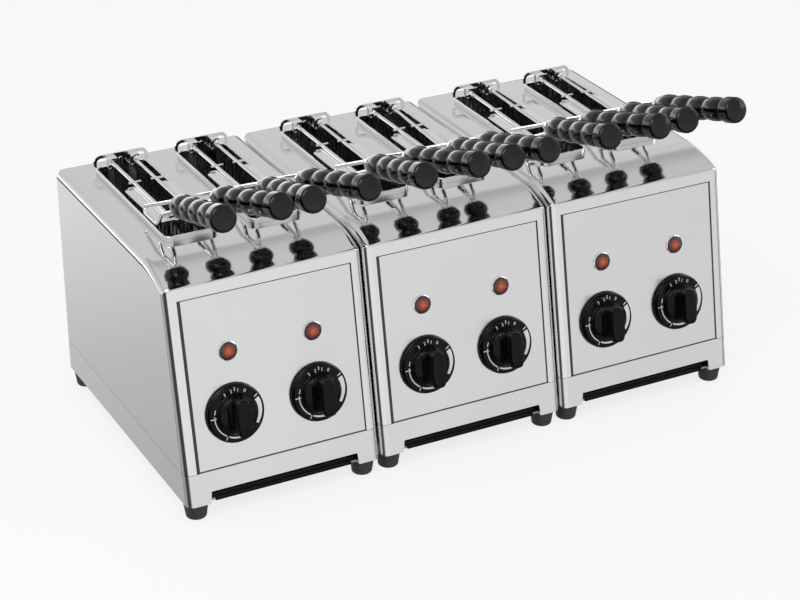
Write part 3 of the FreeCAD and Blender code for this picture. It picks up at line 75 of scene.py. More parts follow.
def linear(code):
    """An sRGB hex colour as linear red, green, blue and an alpha of 1."""
    parts = [int(code[i:i + 2], 16) / 255 for i in (0, 2, 4)]
    return [p / 12.92 if p <= 0.04045 else ((p + 0.055) / 1.055) ** 2.4 for p in parts] + [1.0]


def add(tree, kind, links=None, stops=(), **settings):
    """
    Adds a node; settings name its sockets or properties, links join sockets to outputs.

    stops are the pairs of place and hex colour of a colour ramp.
    """
    node = tree.nodes.new("ShaderNode" + kind)
    for name, value in settings.items():
        socket = node.inputs.get(name.replace("_", " "))
        if socket is not None:
            socket.default_value = value
        else:
            setattr(node, name, value)
    if stops:
        elements = node.color_ramp.elements
        while len(elements) < len(stops):
            elements.new(0.5)
        for element, (place, code) in zip(elements, stops):
            element.position = place
            element.color = linear(code)
    for name, source in (links or {}).items():
        tree.links.new(source, node.inputs[name])
    return node


def new_material(name):
    """An empty material with its output, and its Principled shader."""
    material = bpy.data.materials.new(name)
    material.use_nodes = True
    tree = material.node_tree
    tree.nodes.clear()
    shader = add(tree, "BsdfPrincipled")
    add(tree, "OutputMaterial", {"Surface": shader.outputs[0]})
    return material, tree, shader


# Metres between the lows and highs of a bump of full strength
BUMP_DEPTH = 0.0002
COAT_ROUGHNESS = 0.05
# Broad stains in the sheet and flow marks in mouldings, as noise scales per metre
STAIN_SCALE = 14.0
FLOW_SCALE = 60.0
# How much the fine brushing adds to the stains
BRUSHING_SHARE = 0.3


def sheet_steel(name, code, rough, grain, brushing_mm, stretch):
    """
    Steel sheet or wire, with its roughness, bump strength and the spacing of its brushing.

    Noise stretched along the rolling direction makes a faint bump. With broad stains it varies
    the roughness.
    """
    material, tree, shader = new_material(name)
    place = add(tree, "TexCoord").outputs["Object"]
    scaled = add(tree, "Mapping", {"Vector": place}, Scale=stretch)
    fine = add(tree, "TexNoise", {"Vector": scaled.outputs[0]}, Scale=1 / (brushing_mm * MM),
               Detail=4.0, Roughness=0.65)
    broad = add(tree, "TexNoise", {"Vector": place}, Scale=STAIN_SCALE, Detail=2.0)
    weak = add(tree, "MapRange", {"Value": fine.outputs[0]}, To_Max=BRUSHING_SHARE)
    mixed = add(tree, "Math", {0: weak.outputs[0], 1: broad.outputs[0]}, operation="ADD")
    spread = add(tree, "MapRange", {"Value": mixed.outputs[0]}, From_Min=0.35, From_Max=0.95,
                 To_Min=rough * 0.85, To_Max=rough * 1.15)
    tree.links.new(spread.outputs[0], shader.inputs["Roughness"])
    bump = add(tree, "Bump", {"Height": fine.outputs[0]}, Strength=grain, Distance=BUMP_DEPTH)
    tree.links.new(bump.outputs[0], shader.inputs["Normal"])
    shader.inputs["Base Color"].default_value = linear(code)
    shader.inputs["Metallic"].default_value = 1.0
    return material


def moulded(name, code, rough, grain_mm, grain, coat=0.0, gloss=0.5):
    """Moulded plastic, rubber or ceramic: a fine grain in its bump, flow marks in its roughness."""
    material, tree, shader = new_material(name)
    place = add(tree, "TexCoord").outputs["Object"]
    grit = add(tree, "TexNoise", {"Vector": place}, Scale=1 / (grain_mm * MM), Detail=3.0)
    flow = add(tree, "TexNoise", {"Vector": place}, Scale=FLOW_SCALE, Detail=2.0)
    spread = add(tree, "MapRange", {"Value": flow.outputs[0]}, From_Min=0.3, From_Max=0.7,
                 To_Min=rough * 0.8, To_Max=rough * 1.25)
    tree.links.new(spread.outputs[0], shader.inputs["Roughness"])
    bump = add(tree, "Bump", {"Height": grit.outputs[0]}, Strength=grain, Distance=BUMP_DEPTH)
    tree.links.new(bump.outputs[0], shader.inputs["Normal"])
    shader.inputs["Base Color"].default_value = linear(code)
    shader.inputs["Specular IOR Level"].default_value = gloss
    shader.inputs["Coat Weight"].default_value = coat
    shader.inputs["Coat Roughness"].default_value = COAT_ROUGHNESS
    return material


# Bright-annealed stainless sheet: a near mirror with a trace of rolling lines
hood_steel = sheet_steel("bright_stainless_sheet", "e6e6e6", 0.08, 0.008, 3.0, (1.0, 0.15, 0.15))
# Satin stainless sheet, brushed across the fronts
panel_steel = sheet_steel("satin_stainless_sheet", "e6e6e6", 0.22, 0.004, 0.9, (0.12, 1.0, 1.0))
# Inner sheet, dulled by heat
inner_steel = sheet_steel("heat_dulled_steel", "77736e", 0.42, 0.08, 2.0, (1.0, 1.0, 1.0))
# Drawn stainless wire, electropolished
wire_steel = sheet_steel("polished_steel_wire", "ececec", 0.08, 0.01, 1.5, (1.0, 1.0, 1.0))
# Crumb trays: steel coloured dark as painted shade, for the shade they sit in under the plinth
shade_dark_tray_steel = sheet_steel("tray_steel_painted_dark_for_shade", "2c2c2e", 0.35, 0.05, 2.0, (0.2, 1.0, 1.0))
# Phenolic resin, glossy from its mould, with a hard skin: deep black with narrow highlights
black_resin = moulded("black_phenolic_resin", "040405", 0.14, 0.8, 0.05, 0.35, 0.25)
# Knobs of black plastic, less glossy
black_knob = moulded("black_knob_plastic", "020202", 0.26, 0.5, 0.04, 0.0, 0.2)
# Nitrile rubber, matt and slightly grey, for the feet and the lamp seals; it is also the painted
# shade of the dark strips round the front panels
black_rubber = moulded("black_nitrile_rubber", "3a3a3c", 0.5, 0.4, 0.3)
# Hidden parts: nylon glands and timers, ceramic tube ends and milky quartz tubes
grey_plastic = moulded("grey_nylon", "3a3b3d", 0.5, 0.5, 0.2)
white_ceramic = moulded("steatite_ceramic", "d8d4cb", 0.55, 0.6, 0.25)
quartz_glass = moulded("milky_quartz", "c9c2b8", 0.25, 1.0, 0.1)
# Hot-stamped white print on the dials
white_print = moulded("white_dial_print", "e8e8e6", 0.5, 0.3, 0.05)

FINISHES = {
    "housing": hood_steel,
    "front_panel": panel_steel,
    "plinth": panel_steel,
    "crumb_tray": shade_dark_tray_steel,
    "slot_collars": wire_steel,
    "rear_covers": panel_steel,
    "cable_glands": grey_plastic,
    "case_screws": wire_steel,
    "rubber_feet": black_rubber,
    "tie_bars": inner_steel,
    "lamp_bezels": wire_steel,
    "lamp_lenses": quartz_glass,
    "timers": grey_plastic,
    "element_frames": inner_steel,
    "quartz_tubes": quartz_glass,
    "tube_caps": white_ceramic,
    "knob": black_knob,
    "tong_hanger": wire_steel,
    "tong_jaw": wire_steel,
    "tong_grip": black_resin,
}


def finish_of(node_name):
    """The finish of a CAD node, found by the kind of piece its name gives."""
    if node_name.startswith("tong_"):
        return FINISHES["tong_" + node_name.rsplit("_", 1)[1]]
    return next(FINISHES[kind] for kind in FINISHES if node_name.startswith(kind))


for node_name, node in frame["nodes"].items():
    for slot in node.material_slots:
        slot.material = finish_of(node_name)

# Surfaces

# Points nearer than this, in metres, are merged
SAME_PLACE = 0.00001


def grid_faces(rows, columns, first=0):
    """
    Corner numbers of the faces between a grid's points, counted from first.

    Each row is a closed ring: its last column joins its first.
    """
    index = np.arange(rows * columns).reshape(rows, columns) + first
    index = np.hstack([index, index[:, :1]])
    return np.stack([index[:-1, :-1], index[1:, :-1], index[1:, 1:], index[:-1, 1:]],
                    axis=-1).reshape(-1, 4).tolist()


def grid_piece(name, points, material, body, replaced=()):
    """A smooth piece from a grid of points, rings by points by 3."""
    rows, columns = points.shape[:2]
    mesh = bpy.data.meshes.new(name)
    mesh.from_pydata(points.reshape(-1, 3), [], grid_faces(rows, columns))
    finish_piece(name, mesh, material, body, replaced)


def finish_piece(name, mesh, material, body, replaced=(), smooth=True):
    """Merges doubled points, turns the faces outwards, shades the mesh and hands it to its body."""
    work = bmesh.new()
    work.from_mesh(mesh)
    bmesh.ops.remove_doubles(work, verts=work.verts, dist=SAME_PLACE)
    bmesh.ops.recalc_face_normals(work, faces=work.faces)
    work.to_mesh(mesh)
    work.free()
    mesh.polygons.foreach_set("use_smooth", [smooth] * len(mesh.polygons))
    mesh.materials.append(material)
    piece = bpy.data.objects.new(name, mesh)
    bpy.context.collection.objects.link(piece)
    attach(piece, body)
    if replaced:
        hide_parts(*replaced)


def frame_along(way):
    """Three unit vectors square to each other, the last along way and the first level."""
    forward = np.array(way, float)
    forward /= np.linalg.norm(forward)
    side = np.cross((0, 0, 1), forward)
    side /= np.linalg.norm(side)
    return np.array([side, np.cross(forward, side), forward])


def turned(profile, foot, way, segments=72):
    """
    A turned form: each point of the profile (radius, distance) goes round the axis.

    The point at angle a is foot + distance along way + radius (cos a side + sin a up).
    """
    side, up, forward = frame_along(way)
    angle = np.linspace(0, 2 * np.pi, segments, endpoint=False)
    ring = np.cos(angle)[:, None] * side + np.sin(angle)[:, None] * up
    radius, distance = np.asarray(profile, float).T * MM
    return (np.asarray(foot) + distance[:, None, None] * forward
            + radius[:, None, None] * ring[None])


def arc_points(centre, radius, start, stop, count):
    """Points of a profile on an arc: centre + radius (sin a, cos a), a from start to stop."""
    angle = np.radians(np.linspace(start, stop, count))
    return np.stack([centre[0] + radius * np.sin(angle), centre[1] + radius * np.cos(angle)], -1)


# Joints by name, for the places of the moving pieces
joints = {joint["name"]: joint for joint in frame["joints"]}

# Grips: turned from the foot on the wire to the cap at the end, in millimetres from the pivot
GRIP_FOOT = (-7.8, -169.5, 28.0)
GRIP_END = (-14.0, -266.5, 58.0)
GRIP_LENGTH = float(np.linalg.norm(np.subtract(GRIP_END, GRIP_FOOT)))
GRIP_COLLAR = 3.0
GRIP_RINGS = 4
# Radius and distance of the points of the plain foot
FOOT_PROFILE = [(0.0, 0.0), (7.4, 0.0), (8.1, 0.4), (8.4, 1.2), (8.4, 2.2)]
GROOVE_RADIUS = 8.5
RING_RADIUS = 10.6
RING_POWER = 2.2
NECK_LENGTH = 3.0
# Radius of the points of the neck, and how far they lie before the cap
NECK_PROFILE = [(8.1, 2.4), (7.8, 1.6), (7.8, 0.4)]
CAP_START = 4.0
CAP_RADIUS = 11.3
CAP_LENGTH = 15.0
CAP_ROUNDING = 3.0
CAP_DOME = 0.9
# Degrees that each tong stands turned about its pivots
TONG_TURN = (0.6, 0.6, -0.1, -0.9, -1.2, -1.2)


def grip_profile():
    """
    Foot, bulging rings, a neck and a cap with rounded edges and a domed end.

    A ring's radius is the groove's plus the bulge times 1 - |s|^2.2, s from -1 to 1 along it.
    The cap's end rises by CAP_DOME times 1 - (r/R)^2.
    """
    cap_start = GRIP_LENGTH - CAP_START
    cap_end = cap_start + CAP_LENGTH
    flat = CAP_RADIUS - CAP_ROUNDING
    ring_length = (cap_start - NECK_LENGTH - GRIP_COLLAR) / GRIP_RINGS
    points = list(FOOT_PROFILE)
    along = np.linspace(-1, 1, 25)
    for ring in range(GRIP_RINGS):
        middle = GRIP_COLLAR + ring_length * (ring + 0.5)
        radius = GROOVE_RADIUS + (RING_RADIUS - GROOVE_RADIUS) * (1 - np.abs(along) ** RING_POWER)
        points += list(zip(radius, middle + along * ring_length / 2))
    points += [(radius, cap_start - before) for radius, before in NECK_PROFILE]
    points += list(arc_points((flat, cap_start + CAP_ROUNDING), CAP_ROUNDING, 180, 90, 10))
    points += list(arc_points((flat, cap_end - CAP_ROUNDING), CAP_ROUNDING, 90, 8, 12))
    points += [(radius, cap_end + CAP_DOME * (1 - (radius / flat) ** 2))
               for radius in np.linspace(flat * 0.96, 0.0, 8)]
    return np.array(points)


def tong_place(tong, side_name, local):
    """
    A place on a jaw at rest, from the left jaw's pivot in millimetres.

    The right jaw mirrors it. A jaw is turned about its pivot by the tong's own turn, and a tong
    that rests squeezed also by as much as its joint lets it open.
    """
    joint = joints["tong_%d_%s_close" % (tong, side_name)]
    pivot = np.array(joint["pos_m"])
    mirror, limit = (1, 0) if side_name == "left" else (-1, 1)
    squeezed = -joint["range_deg"][limit]
    across, deep, height = np.array(local, float) * MM
    across *= mirror
    angle = math.radians(TONG_TURN[tong - 1] + squeezed)
    return pivot + np.array([
        across * math.cos(angle) - deep * math.sin(angle),
        across * math.sin(angle) + deep * math.cos(angle),
        height])


for tong in SLOT_NUMBERS:
    for side_name in ("left", "right"):
        foot = tong_place(tong, side_name, GRIP_FOOT)
        end = tong_place(tong, side_name, GRIP_END)
        node_name = "tong_%d_%s_grip" % (tong, side_name)
        grid_piece(
            "resin_" + node_name,
            turned(grip_profile(), foot, end - foot),
            black_resin, "tong_%d_%s" % (tong, side_name), [node_name])

# Knobs: a dial with a raised middle that draws in to a bar, and its printed scale
SKIRT_FACE = 5.5
HUB_SECTIONS = [
    # height, half width, half length, squareness of the outline
    (5.3, 18.6, 18.6, 2.0), (5.6, 17.9, 17.9, 2.0), (6.4, 17.5, 17.5, 2.0),
    (8.0, 17.0, 17.2, 2.0), (8.8, 16.5, 17.0, 2.0), (9.3, 15.6, 16.8, 2.0),
    (9.8, 13.6, 16.7, 2.1), (10.4, 11.4, 16.6, 2.3), (11.4, 9.6, 16.6, 2.6),
    (13.0, 8.3, 16.5, 3.0), (16.0, 7.4, 16.4, 3.4), (20.0, 6.9, 16.2, 3.8),
    (22.0, 6.6, 16.0, 3.8), (22.9, 6.2, 15.6, 3.6), (23.4, 5.5, 14.9, 3.3),
    (23.6, 4.4, 13.8, 3.0), (23.65, 0.0, 0.0, 2.0),
]


def knob_axes(knob):
    """Where a knob's middle is on its panel, and its across, up and out directions."""
    joint = joints["knob_%d_turn" % knob]
    out = -np.array(joint["axis"])
    across = np.array([1.0, 0.0, 0.0])
    return np.array(joint["pos_m"]), np.array([across, np.cross(out, across), out])


def on_knob(knob, local):
    """Places from knob millimetres, across, up and out, to the scene."""
    middle, axes = knob_axes(knob)
    return middle + np.asarray(local, float) * MM @ axes


def hub_points(steps=96):
    """
    Sections of the hub, each the outline |x/a|^n + |y/b|^n = 1 at its own height.

    At angle t the outline's point is a, b times cos t, sin t, each raised to the power 2/n.
    """
    height, wide, long, power = np.array(HUB_SECTIONS).T[:, :, None]
    angle = np.linspace(0, 2 * np.pi, steps, endpoint=False)[None]
    x = wide * np.sign(np.cos(angle)) * np.abs(np.cos(angle)) ** (2 / power)
    y = long * np.sign(np.sin(angle)) * np.abs(np.sin(angle)) ** (2 / power)
    return np.stack([x, y, np.broadcast_to(height, x.shape)], -1)


# Radius and height of the points of the dial's outline
DIAL_PROFILE = [
    (0.0, 1.0), (24.8, 1.0), (25.4, 1.3), (25.6, 1.8), (25.6, 2.5), (25.4, 3.0),
    (24.7, 4.7), (24.4, 5.2), (23.9, 5.45), (23.2, 5.5), (16.0, 5.5), (0.0, 5.5),
]
DIAL_STEPS = 120


def round_points(profile, steps):
    """
    A form turned about a knob's or lamp's own axis, from points of radius and height.

    The point at angle a is (radius cos a, radius sin a, height).
    """
    angle = np.linspace(0, 2 * np.pi, steps, endpoint=False)
    radius, height = np.array(profile).T[:, :, None]
    return np.stack([radius * np.cos(angle), radius * np.sin(angle),
                     np.broadcast_to(height, (len(profile), steps))], -1)


PRINT_LIFT = 0.12
# Degrees between the points of a printed arc
ARC_STEP = 3


def printed_arc(inner, outer, start, stop):
    """
    A raised printed stroke between two angles, clockwise from the top in degrees.

    inner and outer are pairs of radii, at the start and at the stop, and run evenly between.
    """
    steps = int(abs(stop - start) / ARC_STEP) + 2
    run = np.linspace(0, 1, steps)[:, None]
    angle = np.radians(start + (stop - start) * run)
    low = inner[0] + (inner[1] - inner[0]) * run
    high = outer[0] + (outer[1] - outer[0]) * run
    radius = np.hstack([low, high, high, low])
    height = np.array([[-PRINT_LIFT, -PRINT_LIFT, PRINT_LIFT, PRINT_LIFT]]) + SKIRT_FACE
    points = np.stack([radius * np.sin(angle), radius * np.cos(angle),
                       np.broadcast_to(height, radius.shape)], -1)
    ends = [np.broadcast_to(row.mean(axis=0), row.shape)[None] for row in (points[0], points[-1])]
    return np.concatenate([ends[0], points, ends[1]])


def printed_number(text, size, angle, radius):
    """A plain number's mesh points and faces, upright to the dial's rim at an angle."""
    curve = bpy.data.curves.new("number", "FONT")
    curve.body = text
    curve.size = size
    curve.align_x = "CENTER"
    curve.align_y = "CENTER"
    curve.extrude = PRINT_LIFT
    curve.resolution_u = 3
    holder = bpy.data.objects.new("number", curve)
    mesh = bpy.data.meshes.new_from_object(holder)
    points = np.array([v.co[:] for v in mesh.vertices])
    faces = [list(f.vertices) for f in mesh.polygons]
    bpy.data.objects.remove(holder)
    bpy.data.curves.remove(curve)
    bpy.data.meshes.remove(mesh)
    turn = math.radians(angle)
    x = points[:, 0] * math.cos(turn) + points[:, 1] * math.sin(turn) + radius * math.sin(turn)
    y = -points[:, 0] * math.sin(turn) + points[:, 1] * math.cos(turn) + radius * math.cos(turn)
    return np.stack([x, y, points[:, 2] + SKIRT_FACE], -1), faces


# Strokes of the scale: radii at the start and the stop, then the angles they run between
STROKES = [
    ((19.6, 19.6), (20.3, 20.3), 292, 281),
    ((19.6, 19.6), (20.3, 20.5), 276, 214),
    ((19.5, 19.3), (20.7, 21.4), 206, 160),
    ((19.2, 19.0), (21.6, 23.2), 124, 62),
    ((20.0, 20.0), (23.4, 23.4), 211, 209.6),
    ((18.4, 18.4), (23.6, 23.6), 270.9, 269.1),
    ((20.0, 20.0), (23.6, 23.6), 56.5, 54.5),
    ((20.5, 20.5), (23.6, 23.6), 0.9, -0.9),
]
NUMBERS = [("3", -26), ("2", -9), ("1", 8), ("0", 25)]
NUMBER_SIZE = 4.2
NUMBER_RADIUS = 20.6


def dial_print(knob):
    """One mesh with all strokes and numbers of a dial."""
    points, faces, count = [], [], 0
    for inner, outer, start, stop in STROKES:
        stroke = printed_arc(inner, outer, start, stop)
        faces += grid_faces(stroke.shape[0], stroke.shape[1], count)
        points.append(stroke.reshape(-1, 3))
        count += points[-1].shape[0]
    for text, angle in NUMBERS:
        number, number_faces = printed_number(text, NUMBER_SIZE, angle, NUMBER_RADIUS)
        faces += [[corner + count for corner in face] for face in number_faces]
        points.append(number)
        count += len(number)
    mesh = bpy.data.meshes.new("dial_print_%d" % knob)
    mesh.from_pydata(on_knob(knob, np.concatenate(points)).tolist(), [], faces)
    return mesh


for knob in SLOT_NUMBERS:
    body = "timer_knob_%d" % knob
    node_name = "knob_%d" % knob
    dial = round_points(DIAL_PROFILE, DIAL_STEPS)
    grid_piece("dial_%d" % knob, on_knob(knob, dial), black_knob, body, [node_name])
    grid_piece("hub_%d" % knob, on_knob(knob, hub_points()), black_knob, body, [node_name])
    finish_piece("dial_print_%d" % knob, dial_print(knob), white_print, body, smooth=False)

# Lamps: a faceted dome that sits on its bezel, over a thin black ring
LAMP_RISE = (LAMP_UP - KNOB_UP) / math.cos(LEAN)
LENS_RADIUS = 7.1
LENS_SEAT = 1.65
LENS_EDGE = 0.5
LENS_DOME = 1.1
LENS_RINGS = 26
LENS_FACETS = 12
FACET_DEPTH = 0.16
FACET_POWER = 1.4
# Radius and height of the corners of the ring under a lens; the last closes the outline
LAMP_SEAL = [(7.0, 1.5), (7.75, 1.5), (7.75, 1.72), (7.0, 1.72), (7.0, 1.5)]
SEAL_STEPS = 72
# Colours from a lens's middle to its rim
LENS_COLOURS = [(0.0, "d87040"), (0.3, "bc5430"), (0.6, "8c3822"), (0.85, "5c231b"),
                (1.0, "3c1814")]
LENS_MOTTLE = 0.12


def lens_points(steps=96):
    """
    A dome of height h (1 - (r/R)^2) on a short upright edge, closed underneath.

    Facets lie on it: a wave of cos(12 a) sin(pi (r/R)^1.4), a being the angle.
    """
    share = np.linspace(0.0, 1.0, LENS_RINGS)[:, None]
    angle = np.linspace(0, 2 * np.pi, steps, endpoint=False)[None]
    wave = FACET_DEPTH * np.cos(LENS_FACETS * angle) * np.sin(np.pi * share ** FACET_POWER)
    top = LENS_SEAT + LENS_EDGE + LENS_DOME * (1 - share ** 2) + wave
    radius = LENS_RADIUS * share * np.ones_like(angle)
    rim = np.array([[LENS_RADIUS, LENS_SEAT + LENS_EDGE / 2], [LENS_RADIUS - 0.1, LENS_SEAT],
                    [0.0, LENS_SEAT]])
    radius = np.vstack([radius, np.repeat(rim[:, :1], steps, axis=1)])
    height = np.vstack([top, np.repeat(rim[:, 1:], steps, axis=1)])
    return np.stack([radius * np.cos(angle), radius * np.sin(angle), height], -1)


def lamp_glass():
    """Red polycarbonate, moulded: a darker rim and an orange middle where the bulb shows."""
    material, tree, shader = new_material("red_polycarbonate")
    spot = add(tree, "UVMap", uv_map="disc").outputs[0]
    distance = add(tree, "VectorMath", {0: spot}, operation="LENGTH").outputs["Value"]
    mottle = add(tree, "TexVoronoi", {"Vector": spot}, Scale=4.5)
    shade = add(tree, "MapRange", {"Value": mottle.outputs["Distance"]}, From_Max=0.6,
                To_Min=-LENS_MOTTLE, To_Max=LENS_MOTTLE)
    spread = add(tree, "Math", {0: distance, 1: shade.outputs[0]}, operation="ADD")
    colours = add(tree, "ValToRGB", {"Fac": spread.outputs[0]}, LENS_COLOURS)
    tree.links.new(colours.outputs[0], shader.inputs["Base Color"])
    shader.inputs["Roughness"].default_value = 0.15
    shader.inputs["Coat Weight"].default_value = 0.5
    return material


red_glass = lamp_glass()


def in_lamps(local):
    """The same local points at each of the six lamps, one after another."""
    raised = local.reshape(-1, 3) + (0.0, LAMP_RISE, 0.0)
    return np.concatenate([on_knob(knob, raised) for knob in SLOT_NUMBERS])


def lamp_set(name, local, material, replaced=()):
    """One mesh with a grid of points repeated at each lamp, and a UV map of its disc."""
    rows, columns = local.shape[:2]
    faces = []
    for lamp in range(SLOTS):
        faces += grid_faces(rows, columns, lamp * rows * columns)
    mesh = bpy.data.meshes.new(name)
    mesh.from_pydata(in_lamps(local).tolist(), [], faces)
    disc = np.tile(local.reshape(-1, 3)[:, :2] / LENS_RADIUS, (SLOTS, 1))
    corner_of = np.zeros(len(mesh.loops), int)
    mesh.loops.foreach_get("vertex_index", corner_of)
    mesh.uv_layers.new(name="disc").data.foreach_set("uv", disc[corner_of].ravel())
    finish_piece(name, mesh, material, "toaster", replaced)


lamp_set("lamp_lens_domes", lens_points(), red_glass, ["lamp_lenses"])
lamp_set("lamp_seals", round_points(LAMP_SEAL, SEAL_STEPS), black_rubber)

# Painted shadow strips: dark strips on each front panel's face that stand in for the shade in the
# step where it meets the posts, the lip and the plinth
SHADOW_STRIP_FOOT = 0.02
SHADOW_STRIP_HEIGHT = 0.12
# Widths of the painted shadow strips in millimetres, wider on the left
LEFT_SHADOW_STRIP = 3.4
RIGHT_SHADOW_STRIP = 0.7
TOP_SHADOW_STRIP = 1.2
BOTTOM_SHADOW_STRIP = 0.6
PANEL_LEFT = POST_WIDTH
PANEL_RIGHT = MODULE_WIDTH - POST_WIDTH
PANEL_BOTTOM = (PANEL_LOW - KNOB_UP) / math.cos(LEAN)
PANEL_TOP = (LIP_LOW - KNOB_UP) / math.cos(LEAN)
# Across from and to, up the slope from and to
PAINTED_SHADOW_STRIPS = [
    (PANEL_LEFT, PANEL_LEFT + LEFT_SHADOW_STRIP, PANEL_BOTTOM, PANEL_TOP),
    (PANEL_RIGHT - RIGHT_SHADOW_STRIP, PANEL_RIGHT, PANEL_BOTTOM, PANEL_TOP),
    (PANEL_LEFT, PANEL_RIGHT, PANEL_TOP - TOP_SHADOW_STRIP, PANEL_TOP),
    (PANEL_LEFT, PANEL_RIGHT, PANEL_BOTTOM, PANEL_BOTTOM + BOTTOM_SHADOW_STRIP),
]


def painted_shadow_mesh(name, first_knob):
    """Painted shadow strips on a panel's face, each a closed block whose corners come from its four
    sides.
    """
    points, faces = [], []
    block_faces = [(0, 3, 2, 1), (4, 5, 6, 7), (0, 1, 5, 4), (1, 2, 6, 5), (2, 3, 7, 6),
                   (3, 0, 4, 7)]
    for left, right, low, high in PAINTED_SHADOW_STRIPS:
        outline = [(left, low), (right, low), (right, high), (left, high)]
        block = [(x - KNOB_ACROSS, y, z) for z in (SHADOW_STRIP_FOOT, SHADOW_STRIP_HEIGHT) for x, y in outline]
        faces += [[corner + len(points) for corner in face] for face in block_faces]
        points += on_knob(first_knob, block).tolist()
    mesh = bpy.data.meshes.new(name)
    mesh.from_pydata(points, [], faces)
    return mesh


# Each panel's strips of painted shade, in black rubber
for module, module_name in enumerate(MODULES):
    name = "panel_painted_shadow_" + module_name
    finish_piece(name, painted_shadow_mesh(name, 1 + 2 * module), black_rubber, "toaster", smooth=False)

# Folded front edges of the crumb trays, in the steel painted dark as shade: one fold across the
# opening, a lower one between the rails
FOLD_END = 0.5
FOLD_END_SHARE = 0.85
# Across from and to, deep from and to, height from and to
FOLDS = {
    "upper": (22.9, 155.6, 5.0, 8.3, 18.3, 22.6),
    "lower": (26.6, 151.9, 4.2, 8.3, 14.9, 18.6),
}


def fold_points(module, fold, steps=48):
    """
    A bar along a module's front whose section is |u|^6 + |v|^6 = 1, drawn in at both ends.

    At angle t, u and v are cos t and sin t, each raised to the power 1/3.
    """
    left, right, front_edge, back_edge, low, high = fold
    across = np.array([left, left, left + FOLD_END, right - FOLD_END, right, right])[:, None]
    share = np.array([0.0, FOLD_END_SHARE, 1.0, 1.0, FOLD_END_SHARE, 0.0])[:, None]
    angle = np.linspace(0, 2 * np.pi, steps, endpoint=False)[None]
    u, v = (np.sign(wave) * np.abs(wave) ** (1 / 3) for wave in (np.cos(angle), np.sin(angle)))
    x = ROW_LEFT + MODULE_PITCH * module + across + 0 * angle
    y = (front_edge + back_edge) / 2 - DEEP_ORIGIN + share * u * (back_edge - front_edge) / 2
    z = (low + high) / 2 + share * v * (high - low) / 2
    return np.stack([x, y, z], -1) * MM


for module, module_name in enumerate(MODULES):
    for fold_name, fold in FOLDS.items():
        grid_piece("tray_%s_%s_fold" % (module_name, fold_name), fold_points(module, fold),
                   shade_dark_tray_steel, "tray_" + module_name)

# Studio: two soft boxes, a light tent and a pale floor

# Name, place, width and height in metres, and watts
SOFT_BOXES = [
    ("key_box", (-1.2, -0.9, 1.9), (1.2, 1.2), 16),
    ("fill_box", (2.1, -1.1, 1.1), (1.0, 1.4), 7),
]
# The place they look at
LIT_PLACE = (0, 0, 0.1)


def light_panel(name, place, size, power):
    """An area lamp that looks at the middle of the object."""
    lamp = bpy.data.lights.new(name, "AREA")
    lamp.shape = "RECTANGLE"
    lamp.size, lamp.size_y = size
    lamp.energy = power
    panel = bpy.data.objects.new(name, lamp)
    bpy.context.collection.objects.link(panel)
    panel.location = place
    way = Vector(LIT_PLACE) - Vector(place)
    panel.rotation_euler = way.to_track_quat("-Z", "Y").to_euler()


for soft_box in SOFT_BOXES:
    light_panel(*soft_box)


def by_elevation(greys):
    """Stops of a ramp that runs from straight down to straight up, from elevations and greys."""
    return [((degrees + 90) / 180, code) for degrees, code in greys]


def by_bearing(greys):
    """Stops of a ramp that runs once round, from bearings (+X towards +Y) and greys."""
    return [(degrees / 360, code) for degrees, code in greys]


# The surround is a light tent with a few dark cards, as shiny steel is photographed.
# Elevations and greys behind the object, then in front of it
REAR_LEVELS = [(-90, "bcbcbc"), (-45, "b4b4b4"), (-32, "c2c2c2"), (-28, "d6d6d6"), (-24, "f8f8f8"),
               (-3, "f4f4f4"), (18, "e8e8e8"), (24, "d8d8d8"), (33, "d8d8d8"), (37, "b6b6b6"),
               (43, "bababa"), (50, "cecece"), (60, "d4d4d4"), (90, "d4d4d4")]
FRONT_LEVELS = [(-90, "b4b4b4"), (-34, "909090"), (-22, "909090"), (-15, "f2f2f2"), (-8, "f4f4f4"),
                (5, "e8e8e8"), (30, "d8d8d8"), (50, "d0d0d0"), (60, "d0d0d0"), (90, "d4d4d4")]
# Bearings and greys of the cards that stand round the object, below eye level
SIDE_CARDS = [(0, "ffffff"), (14, "ffffff"), (20, "505050"), (34, "505050"), (38, "c8c8c8"),
              (46, "c8c8c8"), (50, "363636"), (66, "363636"), (70, "ffffff"), (100, "ffffff"),
              (108, "f0f0f0"), (126, "e8e8e8"), (136, "b0b0b0"), (158, "b0b0b0"), (163, "e0e0e0"),
              (168, "b0b0b0"), (184, "a8a8a8"), (190, "4c4c4c"), (230, "4c4c4c"), (238, "ffffff"),
              (330, "ffffff"), (338, "8c8c8c"), (348, "8c8c8c"), (352, "ffffff"), (360, "ffffff")]
# A light strip along the horizon behind, which the tops of the grips mirror
STRIP_LEVELS = [(-90, "000000"), (-14, "000000"), (-9, "ffffff"), (4, "ffffff"), (9, "000000"),
                (90, "000000")]
STRIP_GAIN = 2.6
# A low dark card behind and to the left, which gives the black grips their dark undersides
LOW_CARD_BEARINGS = [(0, "000000"), (99, "000000"), (104, "ffffff"), (124, "ffffff"),
                     (129, "000000"), (360, "000000")]
LOW_CARD_LEVELS = [(-90, "000000"), (-20, "000000"), (-18, "ffffff"), (-6, "ffffff"),
                   (-4, "000000"), (90, "000000")]

# Sines of the elevations between which the cards fade out
CARD_FADE = (0.1, 0.3)
# The front darkens to the right: the westward parts of the direction, and the gains there
FRONT_SIDES = (-0.3, -0.6)
FRONT_GAINS = (1.03, 0.86)
# The southward parts of the direction between which the rear blends into the front
BLEND = (-0.15, 0.15)
LOW_CARD_GAIN = 0.12

